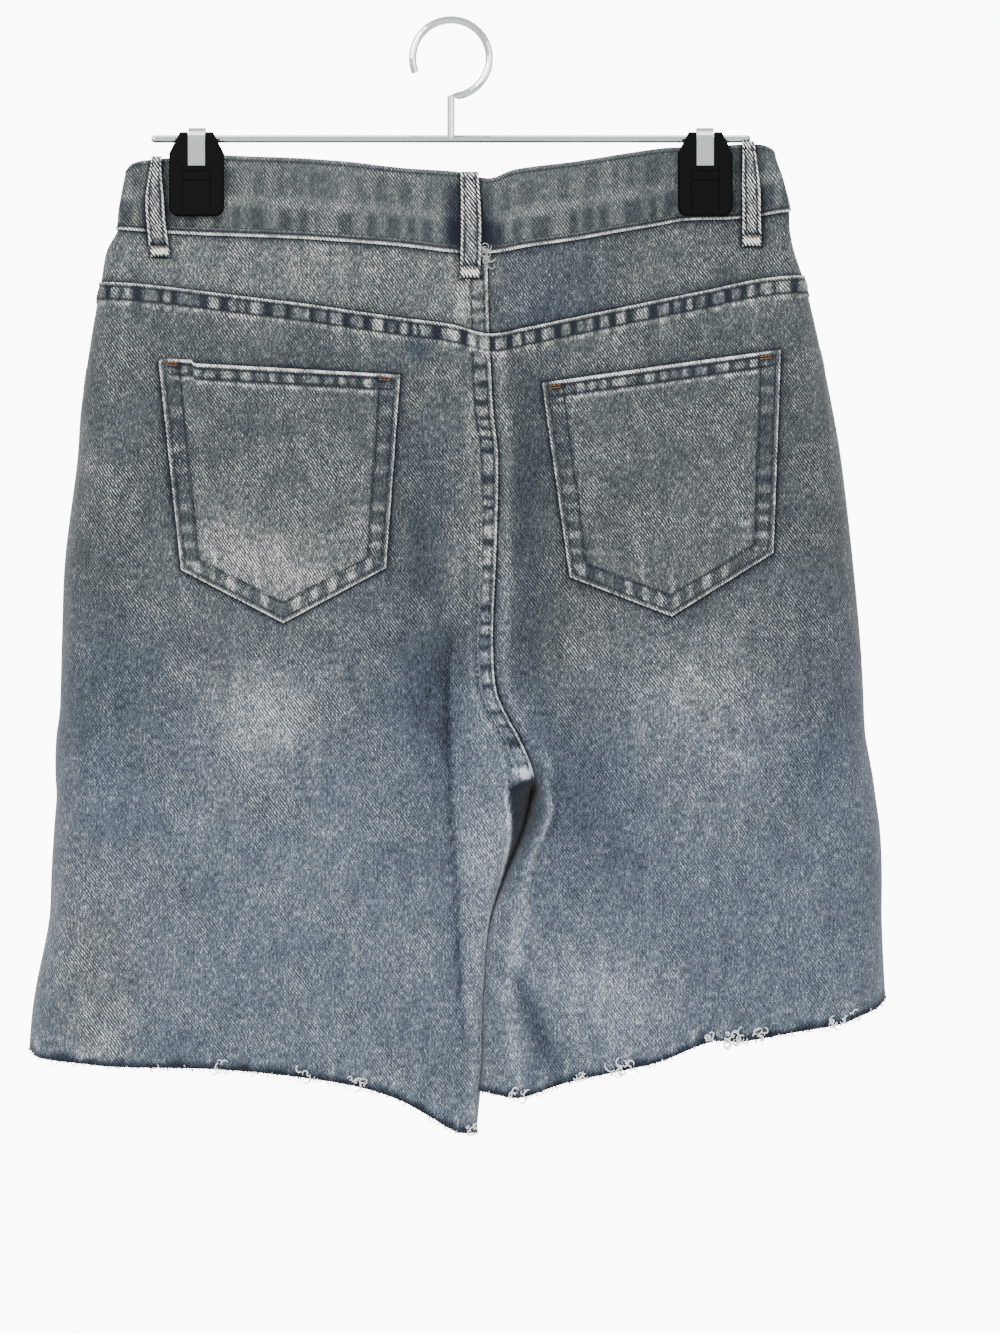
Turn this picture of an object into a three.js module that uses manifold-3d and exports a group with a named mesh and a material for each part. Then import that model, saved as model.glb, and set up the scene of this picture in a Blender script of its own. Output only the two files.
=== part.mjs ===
// Denim shorts with cut-off legs, hung by the waistband from a two-clip hanger, in millimetres.
// +Z is up, the seat side faces -Y, and the origin is the inside top of the hanger's hook.
// Every "drop" is a distance straight down from the axis of the hanger's bar.
import * as THREE from "three";
import Module from "manifold-3d";
import { mergeVertices } from "three/addons/utils/BufferGeometryUtils.js";

const BACK = -1;
const FRONT = 1;
const LEFT = -1;
const RIGHT = 1;

// Cloth
const DENIM = 1.4; // one layer of the cloth
const BAND_WALL = 2.6; // the waistband, folded double
const LOOP_WALL = 1.9; // a belt loop, folded
const SEAM_GAP = 0.3; // between neighbouring pieces
const LEG_GAP = 0.9; // between the two legs where they touch
const BAND_RISE = 1.0; // the waistband stands proud of the yoke
const FOLD_RISE = 0.9; // a felled seam stands proud of its panel
const FOLD_WIDTH = 10; // width of a felled seam
const FOLD_EDGE = 1.2; // length of the step at a felled seam's edge
const LIE = 0.5; // a patch lies this far off its panel
const FACING_SINK = 0.5; // the pocket facing lies lower than the front panel's edge
const FACING_WALL = 1.1;

// Hanger
const HOOK_REACH = 60; // inside top of the hook to the bar's axis
const HOOK_RADIUS = 18; // inside of the hook
const WIRE = 4; // wire diameter
const BAR_HALF = 156; // half the bar's length
const CLIP_X = 132; // hanger's middle to each clip's middle
const CLIP_HALF = 14.2;
const CLIP_TOP = -3; // drops of the pad's top, shoulder and foot
const CLIP_SHOULDER = 8;
const CLIP_FOOT = 40.6;
const CLIP_TOP_HALF = 8.6;
const CLIP_CORNER = 5;
const PAD_IN = 3.1; // the pads' inner face, measured from the bar's plane
const PAD_OUT = 8.4;
const CRADLE_IN = 2.3; // where the pads hold the bar
const CRADLE_FOOT = 3.2;
const NOTCH_HALF = 4.7;
const NOTCH_FOOT = 14.6;
const SPRING_HALF = 4.4;
const SPRING_STEEL = 0.9;
const SPRING_OUT = 7.9;
const SPRING_TOP = -5.7;

// Fly and button
const FRONT_CENTRE = 6; // x of the centre front at the waist
const FLY_OVER = 15; // the overlapping end passes the centre front by this much
const FLY_BACK = 28; // from the centre front to the fly's stitched edge
const FLY_END = 172; // drop of the fly's lower end
const BUTTON_RADIUS = 8.5;

// The garment's outline seen from behind: side edges and the line where the two halves meet, at each drop
const OUTLINE = [
  { drop: 0, left: -163, centre: 18, right: 166 },
  { drop: 11, left: -166.5, centre: 18.2, right: 168.5 },
  { drop: 21, left: -169, centre: 18.3, right: 172 },
  { drop: 37, left: -172, centre: 18.5, right: 175.8 },
  { drop: 47, left: -173.2, centre: 18.6, right: 176.3 },
  { drop: 58, left: -178.9, centre: 18.8, right: 178.4 },
  { drop: 75, left: -182, centre: 19.2, right: 184 },
  { drop: 102, left: -186.8, centre: 20, right: 190.5 },
  { drop: 141, left: -192.4, centre: 21.8, right: 198.6 },
  { drop: 167, left: -194.3, centre: 24.4, right: 203 },
  { drop: 219, left: -200.7, centre: 23.3, right: 209 },
  { drop: 260, left: -202.3, centre: 21.8, right: 212.8 },
  { drop: 286, left: -203, centre: 23.5, right: 214.4 },
  { drop: 298, left: -203.5, centre: 28.1, right: 214.8 },
  { drop: 310, left: -205.1, centre: 34.8, right: 215.6 },
  { drop: 321, left: -205.7, centre: 39.7, right: 217.5 },
  { drop: 332, left: -205.6, centre: 42.6, right: 219.5 },
  { drop: 341, left: -205.1, centre: 41.6, right: 220.7 },
  { drop: 359, left: -206.4, centre: 37.5, right: 223.1 },
  { drop: 380, left: -207.7, centre: 29.4, right: 224.1 },
  { drop: 406, left: -209, centre: 21.2, right: 224.1 },
  { drop: 440, left: -215.7, centre: 18, right: 225.6 },
  { drop: 458, left: -218.2, centre: 17.4, right: 227.2 },
  { drop: 479, left: -219.4, centre: 16.8, right: 228.3 },
  { drop: 520, left: -219.4, centre: 13, right: 228.3 },
];

// Half the depth front to back, and the widths over which the cloth rounds into the side seams and inseams
const SECTIONS = [
  { drop: 0, depth: 8, side: 7, leftIn: FOLD_WIDTH, rightIn: FOLD_WIDTH },
  { drop: 48, depth: 10, side: 9, leftIn: FOLD_WIDTH, rightIn: FOLD_WIDTH },
  { drop: 75, depth: 16, side: 15, leftIn: FOLD_WIDTH, rightIn: FOLD_WIDTH },
  { drop: 105, depth: 20, side: 20, leftIn: FOLD_WIDTH, rightIn: FOLD_WIDTH },
  { drop: 160, depth: 25, side: 25, leftIn: FOLD_WIDTH, rightIn: FOLD_WIDTH },
  { drop: 240, depth: 30, side: 30, leftIn: FOLD_WIDTH, rightIn: FOLD_WIDTH },
  { drop: 310, depth: 32, side: 30, leftIn: FOLD_WIDTH, rightIn: 11 },
  { drop: 340, depth: 32, side: 30, leftIn: 12, rightIn: 14 },
  { drop: 375, depth: 31, side: 29, leftIn: 9, rightIn: 15 },
  { drop: 405, depth: 29, side: 28, leftIn: 7, rightIn: 15 },
  { drop: 430, depth: 28, side: 27, leftIn: 6.5, rightIn: 12 },
  { drop: 520, depth: 25, side: 25, leftIn: 6.5, rightIn: 13 },
];

// Edges of the back pieces, read across the garment
const WAIST_TOP = [
  { x: -170, drop: 18 },
  { x: -166, drop: 13.5 },
  { x: -160, drop: 11.4 },
  { x: -136, drop: 9.4 },
  { x: -118, drop: 8.6 },
  { x: -58, drop: 12 },
  { x: -26, drop: 15.6 },
  { x: 3, drop: 17.7 },
  { x: 20, drop: 21 },
  { x: 33, drop: 16.5 },
  { x: 67, drop: 12 },
  { x: 109, drop: 5 },
  { x: 130, drop: 4.2 },
  { x: 160, drop: 3 },
  { x: 168, drop: 6 },
  { x: 172, drop: 10 },
];
const WAIST_FOOT = [
  { x: -173, drop: 47.5 },
  { x: -138, drop: 49.9 },
  { x: -99, drop: 51.5 },
  { x: -58, drop: 54.1 },
  { x: -26, drop: 56.7 },
  { x: 5, drop: 60.3 },
  { x: 22, drop: 60.3 },
  { x: 39, drop: 57.2 },
  { x: 67, drop: 53 },
  { x: 88, drop: 48.9 },
  { x: 110, drop: 44.7 },
  { x: 122, drop: 42.6 },
  { x: 150, drop: 41.6 },
  { x: 176, drop: 38 },
];
const YOKE_FOOT = [
  { x: -182, drop: 74.9 },
  { x: -155, drop: 77 },
  { x: -105, drop: 83.2 },
  { x: -78, drop: 86.5 },
  { x: -26, drop: 94.1 },
  { x: 0, drop: 97.5 },
  { x: 20, drop: 102.4 },
  { x: 40, drop: 99 },
  { x: 60, drop: 94.8 },
  { x: 98, drop: 86.8 },
  { x: 133, drop: 79.6 },
  { x: 159, drop: 74 },
  { x: 184, drop: 71.4 },
];
const HEM = {
  [LEFT]: [
    { x: -219, drop: 472.5 },
    { x: -214, drop: 476.3 },
    { x: -193, drop: 478.9 },
    { x: -173, drop: 481 },
    { x: -122, drop: 482 },
    { x: -78, drop: 486.2 },
    { x: -47, drop: 491.4 },
    { x: -26, drop: 498.2 },
    { x: -10, drop: 507 },
    { x: 3, drop: 514.5 },
    { x: 13, drop: 515 },
  ],
  [RIGHT]: [
    { x: 16, drop: 493.5 },
    { x: 24, drop: 495.4 },
    { x: 36, drop: 496.8 },
    { x: 58, drop: 489.6 },
    { x: 93, drop: 482 },
    { x: 109, drop: 477.9 },
    { x: 134, drop: 468 },
    { x: 151, drop: 467.6 },
    { x: 176, drop: 463.3 },
    { x: 202, drop: 458.6 },
    { x: 211, drop: 455 },
    { x: 222, drop: 450 },
    { x: 228, drop: 443 },
  ],
};
const SEAT_TURN = 310; // drop where the seat seam starts to turn under
const CROTCH = 338.5; // drop where the four inner seams meet
const FRONT_WAIST_DIP = 7; // the front waist sits lower than the back
const FRONT_HEM_LIFT = 4;

// The clips press the waistband flat, and the cloth fills out again below them
const PINCH = {
  depth: 1.65,
  flat: 21,
  fade: 60,
  hold: 46,
  release: 126,
};

// Main folds: a bent path down or across one face, the half width of the fold, and how far it stands out
const FOLDS = [
  { face: BACK, x: -0.5, drop: 260, midX: 0.5, midDrop: 356, endX: 7, endDrop: 470, width: 8, height: -2.6 },
  { face: BACK, x: -12, drop: 165, midX: -11, midDrop: 240, endX: -8, endDrop: 300, width: 13, height: -2.4 },
  { face: BACK, x: 37, drop: 125, midX: 36, midDrop: 190, endX: 41, endDrop: 262, width: 12, height: -2.2 },
  { face: BACK, x: 34, drop: 436, midX: 45, midDrop: 462, endX: 53, endDrop: 480, width: 6, height: -2.8 },
  { face: BACK, x: 28, drop: 440, midX: 33, midDrop: 470, endX: 37, endDrop: 498, width: 5, height: 2.4 },
  { face: BACK, x: -132, drop: 271, midX: -95, midDrop: 266, endX: -58, endDrop: 264, width: 9, height: -1.3 },
  { face: BACK, x: -95, drop: 320, midX: -110, midDrop: 400, endX: -120, endDrop: 482, width: 24, height: 3 },
  { face: BACK, x: -160, drop: 330, midX: -168, midDrop: 400, endX: -172, endDrop: 482, width: 22, height: -2.5 },
  { face: BACK, x: 92, drop: 350, midX: 86, midDrop: 420, endX: 84, endDrop: 485, width: 22, height: -2.5 },
  { face: BACK, x: 135, drop: 330, midX: 142, midDrop: 400, endX: 146, endDrop: 470, width: 24, height: 3 },
  { face: FRONT, x: -100, drop: 300, midX: -110, midDrop: 400, endX: -112, endDrop: 482, width: 20, height: -2.5 },
  { face: FRONT, x: 110, drop: 300, midX: 120, midDrop: 400, endX: 124, endDrop: 470, width: 20, height: -2.5 },
  { face: FRONT, x: -30, drop: 300, midX: -70, midDrop: 250, endX: -110, endDrop: 225, width: 15, height: 2 },
  { face: FRONT, x: 75, drop: 305, midX: 110, midDrop: 255, endX: 140, endDrop: 230, width: 15, height: 2 },
];

// Corners of the two seat pockets
const POCKETS = {
  left: {
    topOuter: { x: -150.8, drop: 117 },
    topInner: { x: -26, drop: 123.8 },
    footInner: { x: -33.3, drop: 223.6 },
    footOuter: { x: -138.8, drop: 224.6 },
    tip: 252,
  },
  right: {
    topOuter: { x: 47.3, drop: 127.9 },
    topInner: { x: 170.6, drop: 110.8 },
    footInner: { x: 166.4, drop: 215.8 },
    footOuter: { x: 61.4, drop: 228.3 },
    tip: 248.6,
  },
};

// Belt loops: centre at the top and foot of each
const LOOPS = [
  { name: "belt_loop_back_left", face: BACK, top: -152.9, foot: -150.6, below: 12.5, base: 0 },
  { name: "belt_loop_back_centre", face: BACK, top: 9.6, foot: 9.9, below: 12.5, base: FOLD_RISE },
  { name: "belt_loop_back_right", face: BACK, top: 154.6, foot: 156.4, below: 15, base: 0 },
  { name: "belt_loop_front_left", face: FRONT, top: -92, foot: -94, below: 11, base: 0.4 },
  { name: "belt_loop_front_right", face: FRONT, top: 100, foot: 102, below: 11, base: 0.4 },
];
const LOOP_HALF = 5.2;
const LOOP_STAND = 3;

// Front pocket mouths: distance in from the side seam along the waist, and down the side seam
const MOUTH = { [LEFT]: 78, [RIGHT]: 78, fall: 72, start: 2.5, gap: 0.6 };

const DENIM_LOOK = new THREE.MeshStandardMaterial({ color: 0x7c8a9a, roughness: 0.9, metalness: 0 });
const YOKE_LOOK = new THREE.MeshStandardMaterial({ color: 0x868f92, roughness: 0.9, metalness: 0 });
const BAND_LOOK = new THREE.MeshStandardMaterial({ color: 0xa6abac, roughness: 0.9, metalness: 0 });
const PLASTIC = new THREE.MeshStandardMaterial({ color: 0x161616, roughness: 0.5, metalness: 0 });
const CHROME = new THREE.MeshStandardMaterial({ color: 0xd5d7d8, roughness: 0.18, metalness: 1 });
const BRASS = new THREE.MeshStandardMaterial({ color: 0x9a7b4c, roughness: 0.35, metalness: 1 });

const wasm = await Module();
wasm.setup();
const garment = new THREE.Group();
const hanger = new THREE.Group();

const mix = THREE.MathUtils.lerp;
const clamp = THREE.MathUtils.clamp;
const smooth = THREE.MathUtils.smoothstep;

// A smooth curve through one column of a table
function column(rows, key, value) {
  const across = key;
  const last = rows.length - 1;
  const at = clamp(value, rows[0][across], rows[last][across]);
  const i = clamp(rows.findIndex((row) => row[across] >= at) - 1, 0, last - 1);
  const slope = (k) => {
    const a = rows[Math.max(k - 1, 0)];
    const b = rows[Math.min(k + 1, last)];
    return (name) => (b[name] - a[name]) / (b[across] - a[across]);
  };
  const width = rows[i + 1][across] - rows[i][across];
  const t = (at - rows[i][across]) / width;
  const early = slope(i);
  const late = slope(i + 1);
  return (name) =>
    (2 * t ** 3 - 3 * t ** 2 + 1) * rows[i][name] +
    (t ** 3 - 2 * t ** 2 + t) * width * early(name) +
    (3 * t ** 2 - 2 * t ** 3) * rows[i + 1][name] +
    (t ** 3 - t ** 2) * width * late(name);
}

// Share of the seat's depth that the centre seam keeps at a drop: it turns under in a quarter of an ellipse
function seamDepth(drop) {
  const fall = clamp((drop - SEAT_TURN) / (CROTCH - SEAT_TURN), 0, 1);
  return Math.sqrt(1 - fall * fall);
}

// How far the clips flatten the cloth at a place, 0 to 1
function pinched(x, drop) {
  const away = Math.abs(Math.abs(x) - CLIP_X);
  const across = 1 - smooth(away, PINCH.flat, PINCH.fade);
  const down = 1 - clamp((drop - PINCH.hold) / (PINCH.release - PINCH.hold), 0, 1);
  return across * down * down;
}

// How far a fold lifts or sinks the cloth at a place: a bell across its path, fading towards both ends
function foldHeight(fold, x, drop) {
  const bends = [
    [fold.x, fold.drop, fold.midX, fold.midDrop],
    [fold.midX, fold.midDrop, fold.endX, fold.endDrop],
  ];
  let away = Infinity;
  let along = 0;
  bends.forEach(([ax, ad, bx, bd], i) => {
    const square = (bx - ax) ** 2 + (bd - ad) ** 2;
    const t = clamp(((x - ax) * (bx - ax) + (drop - ad) * (bd - ad)) / square, 0, 1);
    const reach = Math.hypot(x - mix(ax, bx, t), drop - mix(ad, bd, t));
    if (reach < away) {
      away = reach;
      along = (i + t) / bends.length;
    }
  });
  const swell = 0.35 + 0.65 * Math.sin(Math.PI * (0.8 * along + 0.1));
  return fold.height * swell * Math.exp(-((away / fold.width) ** 2));
}

// Half the depth of the garment at a place, folds included, before it rounds into its seams
function fullness(face, x, drop) {
  const depth = column(SECTIONS, "drop", drop)("depth");
  const held = mix(depth, PINCH.depth, pinched(x, drop));
  const folds = FOLDS.filter((fold) => fold.face === face);
  return held + folds.reduce((sum, fold) => sum + foldHeight(fold, x, drop), 0);
}

// A point of the cloth's plain outer face. "way" runs from 0 at the centre seam or inseam, through 1 and 2,
// where the rounded edges end, to 3 at the side seam.
function clothPoint(face, half, way, drop) {
  const edges = column(OUTLINE, "drop", drop);
  const rounds = column(SECTIONS, "drop", drop);
  const below = drop > CROTCH ? LEG_GAP / 2 : SEAM_GAP / 2;
  const inner = edges("centre") + half * below;
  const outer = edges(half === LEFT ? "left" : "right");
  const innerRound = rounds(half === LEFT ? "leftIn" : "rightIn");
  const sideRound = rounds("side");
  const kept = seamDepth(drop);
  let x = mix(inner + half * innerRound, outer - half * sideRound, clamp(way - 1, 0, 1));
  let share = 1;
  if (way < 1) {
    const turn = (Math.max(way, 0) * Math.PI) / 2;
    const flat = mix(1 - Math.cos(turn), way, kept);
    x = inner + half * innerRound * flat;
    share = kept + (1 - kept) * Math.sin(turn);
  }
  if (way > 2) {
    const turn = (Math.max(3 - way, 0) * Math.PI) / 2;
    x = outer - half * sideRound * (1 - Math.cos(turn));
    share = Math.sin(turn);
  }
  const y = face * (SEAM_GAP / 2 + share * fullness(face, x, drop));
  return new THREE.Vector3(x, y, -HOOK_REACH - drop);
}

// The way across a half at which the cloth reaches an x
function wayTo(face, half, x, drop) {
  let low = 0;
  let high = 3;
  for (let i = 0; i < 22; i += 1) {
    const middle = (low + high) / 2;
    const reached = half * clothPoint(face, half, middle, drop).x;
    if (reached < half * x) low = middle;
    else high = middle;
  }
  return (low + high) / 2;
}

// The outward direction of the cloth. At a seam it stays in the seam's own plane.
function clothNormal(face, half, way, drop) {
  const step = 0.02;
  const fall = 1.5;
  const a = clothPoint(face, half, Math.max(way - step, 0), drop);
  const b = clothPoint(face, half, Math.min(way + step, 3), drop);
  const above = clothPoint(face, half, way, drop - fall);
  const under = clothPoint(face, half, way, drop + fall);
  const down = under.sub(above);
  const across = b.sub(a);
  if (way < 1e-6 && drop < CROTCH + 0.01) {
    if (drop > CROTCH - 0.01) return new THREE.Vector3(0, 0, -1);
    const line = new THREE.Vector3(0, -down.z * face * -1, down.y * face * -1).normalize();
    return line.y * face < 0 ? line.negate() : line;
  }
  const normal = across.cross(down).normalize();
  if (normal.y * face < 0) normal.negate();
  if (way < 1e-6) normal.set(-half, 0, 0);
  if (way > 3 - 1e-6) {
    normal.y = 0;
    if (normal.x * half < 0) normal.negate();
    normal.normalize();
  }
  return normal;
}

// A closed wall over a grid of places: sample(i, j) gives { point, normal, out, in }
function wall(rows, columns, sample) {
  const positions = [];
  const inward = [];
  for (let i = 0; i < rows; i += 1) {
    for (let j = 0; j < columns; j += 1) {
      const place = sample(i, j);
      const outer = place.point.clone().addScaledVector(place.normal, place.out);
      const inner = place.point.clone().addScaledVector(place.normal, -place.in);
      positions.push(outer.x, outer.y, outer.z);
      inward.push(inner.x, inner.y, inner.z);
    }
  }
  const count = rows * columns;
  positions.push(...inward);
  const faces = [];
  const quad = (a, b, c, d) => faces.push(a, b, c, a, c, d);
  const at = (i, j) => i * columns + j;
  for (let i = 0; i < rows - 1; i += 1) {
    for (let j = 0; j < columns - 1; j += 1) {
      quad(at(i, j), at(i + 1, j), at(i + 1, j + 1), at(i, j + 1));
      quad(at(i, j) + count, at(i, j + 1) + count, at(i + 1, j + 1) + count, at(i + 1, j) + count);
    }
  }
  for (let i = 0; i < rows - 1; i += 1) {
    quad(at(i, 0) + count, at(i + 1, 0) + count, at(i + 1, 0), at(i, 0));
    const j = columns - 1;
    quad(at(i, j), at(i + 1, j), at(i + 1, j) + count, at(i, j) + count);
  }
  for (let j = 0; j < columns - 1; j += 1) {
    quad(at(0, j), at(0, j + 1), at(0, j + 1) + count, at(0, j) + count);
    const i = rows - 1;
    quad(at(i, j) + count, at(i, j + 1) + count, at(i, j + 1), at(i, j));
  }
  const geometry = new THREE.BufferGeometry();
  geometry.setAttribute("position", new THREE.Float32BufferAttribute(positions, 3));
  geometry.setIndex(faces);
  return facingOut(geometry);
}

// The same closed mesh with its faces turned outward
function facingOut(geometry) {
  const p = geometry.getAttribute("position");
  const index = geometry.getIndex();
  const corner = [0, 1, 2].map(() => new THREE.Vector3());
  let volume = 0;
  for (let i = 0; i < index.count; i += 3) {
    corner.forEach((vector, k) => vector.fromBufferAttribute(p, index.getX(i + k)));
    volume += corner[0].dot(corner[1].clone().cross(corner[2]));
  }
  if (volume < 0) {
    for (let i = 0; i < index.count; i += 3) {
      const first = index.getX(i);
      index.setX(i, index.getX(i + 1));
      index.setX(i + 1, first);
    }
  }
  geometry.computeVertexNormals();
  return geometry;
}

function add(group, name, geometry, look) {
  const mesh = new THREE.Mesh(geometry, look);
  mesh.name = name;
  group.add(mesh);
  return mesh;
}

function dropOn(face, rows, x, limit, lift) {
  const drop = column(rows, "x", x)("drop");
  if (face === BACK) return drop;
  const across = clamp(Math.abs(x) / limit, 0, 1);
  return drop + lift * (1 - across ** 4);
}
const waistTop = (face, x) => dropOn(face, WAIST_TOP, x, 172, FRONT_WAIST_DIP);
const waistFoot = (face, x) => dropOn(face, WAIST_FOOT, x, 174, FRONT_WAIST_DIP);
const yokeFoot = (x) => column(YOKE_FOOT, "x", x)("drop");
function hem(face, half, x) {
  const rows = HEM[half];
  const drop = column(rows, "x", x)("drop");
  if (face === BACK) return drop;
  const t = clamp((x - rows[0].x) / (rows[rows.length - 1].x - rows[0].x), 0, 1);
  return drop - FRONT_HEM_LIFT * 4 * t * (1 - t);
}

// The drop at which a way across the cloth meets an edge given over x
function meet(face, half, way, edge) {
  let drop = edge(clothPoint(face, half, way, 60).x);
  for (let i = 0; i < 12; i += 1) drop = edge(clothPoint(face, half, way, drop).x);
  return drop;
}

const quarter = (steps) => Array.from({ length: steps }, (_, i) => i / steps);
const IN_WAYS = quarter(3);
const SIDE_WAYS = [2.25, 2.5, 2.75, 3];
const MIDDLE_WAYS = [0, 0.006, 0.035, 0.075, 0.125, 0.19, 0.27, 0.37, 0.48, 0.59, 0.69, 0.78, 0.86, 0.93, 1];
const BACK_WAYS = [...IN_WAYS, ...MIDDLE_WAYS.map((t) => 1 + t), ...SIDE_WAYS];
const FRONT_MIDDLE = [0, 0.12, 0.26, 0.4, 0.5, 0.58, 0.64, 0.7, 0.77, 0.84, 0.92, 1];
const FRONT_WAYS = [...IN_WAYS, ...FRONT_MIDDLE.map((t) => 1 + t), ...SIDE_WAYS];

// The waistband: a strip that runs all the way round and overlaps itself at the centre front
function waistband() {
  const fromCentre = [0, 0.5, 1, 1.1, 1.25, 1.4, 1.5, 1.6, 1.68, 1.78, 1.9, 2, ...SIDE_WAYS];
  const toCentre = [...fromCentre].reverse();
  const untuck = { from: 1.04, to: 1.14 };
  const strip = [];
  const push = (face, half, ways, tucked) =>
    ways.forEach((way) => {
      const previous = strip[strip.length - 1];
      const doubled = previous && way === 3 && previous.way === 3;
      const joined = previous && way === 0 && previous.way === 0;
      if (!doubled && !joined) strip.push({ face, half, way, tucked: tucked(way) });
    });
  const under = BAND_WALL + SEAM_GAP;
  const none = () => 0;
  push(FRONT, LEFT, [1.08, 1, 0.5, 0], () => under);
  const past = fromCentre.filter((way) => way > untuck.to);
  const tuck = (way) => under * (1 - smooth(way, untuck.from, untuck.to));
  push(FRONT, RIGHT, [0, 0.5, 1, untuck.from, untuck.to, ...past], tuck);
  push(BACK, RIGHT, toCentre, none);
  push(BACK, LEFT, fromCentre, none);
  push(FRONT, LEFT, toCentre, none);
  push(FRONT, RIGHT, [0, 0.5, 1], none);
  const levels = [0, 0.06, 0.4, 0.8, 0.96, 1];
  const sample = (i, j) => {
    const { face, half, way, tucked } = strip[j];
    const top = meet(face, half, way, (x) => waistTop(face, x));
    const foot = meet(face, half, way, (x) => waistFoot(face, x)) - SEAM_GAP / 2;
    const drop = mix(top, foot, levels[i]);
    const point = clothPoint(face, half, way, drop);
    const normal = clothNormal(face, half, way, drop);
    if (way === 0) normal.set(0, normal.y, normal.z).normalize();
    if (way === 3) point.y = 0;
    const thin = i === 0 || i === levels.length - 1 ? 0.35 : 0;
    return { point, normal, out: BAND_RISE - tucked - thin, in: BAND_WALL - BAND_RISE + tucked - thin };
  };
  add(garment, "waistband", wall(levels.length, strip.length, sample), BAND_LOOK);
}

function yoke(name, half) {
  const levels = [0, 0.15, 0.35, 0.55, 0.78, 1];
  const sample = (i, j) => {
    const way = BACK_WAYS[j];
    const top = meet(BACK, half, way, (x) => waistFoot(BACK, x)) + SEAM_GAP / 2;
    const foot = meet(BACK, half, way, yokeFoot) - SEAM_GAP / 2;
    const drop = mix(top, foot, levels[i]);
    const point = clothPoint(BACK, half, way, drop);
    const normal = clothNormal(BACK, half, way, drop);
    return { point, normal, out: felled(half, way), in: DENIM };
  };
  add(garment, name, wall(levels.length, BACK_WAYS.length, sample), YOKE_LOOK);
}

// The centre seam is felled onto the left half, so its rise ends one felled width from the seam
function felled(half, way) {
  return half === LEFT && way < 1.003 ? FOLD_RISE : 0;
}

const SEAT_LEVELS = [0.11, 0.19, 0.27, 0.35, 0.43, 0.51, 0.6, 0.69, 0.77, 0.83];
const TURN_STEPS = 5;
const LEG_LEVELS = [0.04, 0.1, 0.17, 0.25, 0.34, 0.44, 0.55, 0.66, 0.77, 0.88, 1];
const FRONT_LEVELS = [0.06, 0.13, 0.21, 0.32, 0.45, 0.6, 0.75];
const FRONT_LEG_LEVELS = [0.05, 0.12, 0.21, 0.3, 0.4, 0.52, 0.66, 0.82, 1];

// Drops down one way of a leg panel, from its top edge through the crotch's level to the hem
function panelDrops(face, half, way, top, seatLevels, legLevels, foldRows) {
  const foot = meet(face, half, way, (x) => hem(face, half, x));
  const drops = foldRows ? [top, top + FOLD_WIDTH, top + FOLD_WIDTH + FOLD_EDGE] : [top];
  const turn = (SEAT_TURN - top) / (CROTCH - top);
  seatLevels.forEach((level) => drops.push(mix(top, CROTCH, level * (turn / 0.879))));
  for (let k = 0; k <= TURN_STEPS; k += 1) {
    const angle = (k / TURN_STEPS) * (Math.PI / 2);
    drops.push(SEAT_TURN + (CROTCH - SEAT_TURN) * Math.sin(angle));
  }
  legLevels.forEach((level) => drops.push(mix(CROTCH, foot, level)));
  return drops;
}

function backPanel(name, half) {
  const cuts = BACK_WAYS.map((way) => {
    const top = meet(BACK, half, way, yokeFoot) + SEAM_GAP / 2;
    return panelDrops(BACK, half, way, top, SEAT_LEVELS, LEG_LEVELS, true);
  });
  const sample = (i, j) => {
    const way = BACK_WAYS[j];
    const drop = cuts[j][i];
    const point = clothPoint(BACK, half, way, drop);
    const normal = clothNormal(BACK, half, way, drop);
    const seat = drop < SEAT_TURN ? felled(half, way) : 0;
    return { point, normal, out: i < 2 ? FOLD_RISE : seat, in: DENIM };
  };
  add(garment, name, wall(cuts[0].length, BACK_WAYS.length, sample), DENIM_LOOK);
}

// The curved edge of a front pocket's mouth, falling from the waist to the side seam
function mouthDrop(half, x, drop) {
  const side = column(OUTLINE, "drop", drop)(half === LEFT ? "left" : "right");
  const inset = clamp(half * (side - x), 0, MOUTH[half]);
  const t = 1 - inset / MOUTH[half];
  return MOUTH.fall * (1 - (1 - t) ** 2);
}
const mouth = (half, x) => {
  const foot = waistFoot(FRONT, x);
  return foot + mouthDrop(half, x, foot + 30);
};

function frontPanel(name, half) {
  const cuts = FRONT_WAYS.map((way) => {
    const top = meet(FRONT, half, way, (x) => mouth(half, x)) + SEAM_GAP / 2;
    return panelDrops(FRONT, half, way, top, FRONT_LEVELS, FRONT_LEG_LEVELS, false);
  });
  const sample = (i, j) => {
    const way = FRONT_WAYS[j];
    const drop = cuts[j][i];
    const point = clothPoint(FRONT, half, way, drop);
    const normal = clothNormal(FRONT, half, way, drop);
    return { point, normal, out: 0, in: DENIM };
  };
  add(garment, name, wall(cuts[0].length, FRONT_WAYS.length, sample), DENIM_LOOK);
}

// The piece that shows in a front pocket's mouth, filling it up to the front panel's curved edge
function pocketFacing(name, half) {
  const opened = (way) => {
    const x = clothPoint(FRONT, half, way, 60).x;
    return mouthDrop(half, x, 60) > MOUTH.start;
  };
  const ways = [...FRONT_WAYS.filter((way) => way < 3 && opened(way)), 2.95];
  const levels = [0, 0.15, 0.3, 0.45, 0.6, 0.8, 1];
  const sample = (i, j) => {
    const way = ways[j];
    const top = meet(FRONT, half, way, (x) => waistFoot(FRONT, x)) + SEAM_GAP / 2;
    const foot = meet(FRONT, half, way, (x) => mouth(half, x)) - MOUTH.gap;
    const drop = mix(top, foot, levels[i]);
    const point = clothPoint(FRONT, half, way, drop);
    const normal = clothNormal(FRONT, half, way, drop);
    return { point, normal, out: -FACING_SINK, in: FACING_SINK + FACING_WALL };
  };
  add(garment, name, wall(levels.length, ways.length, sample), DENIM_LOOK);
}

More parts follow.
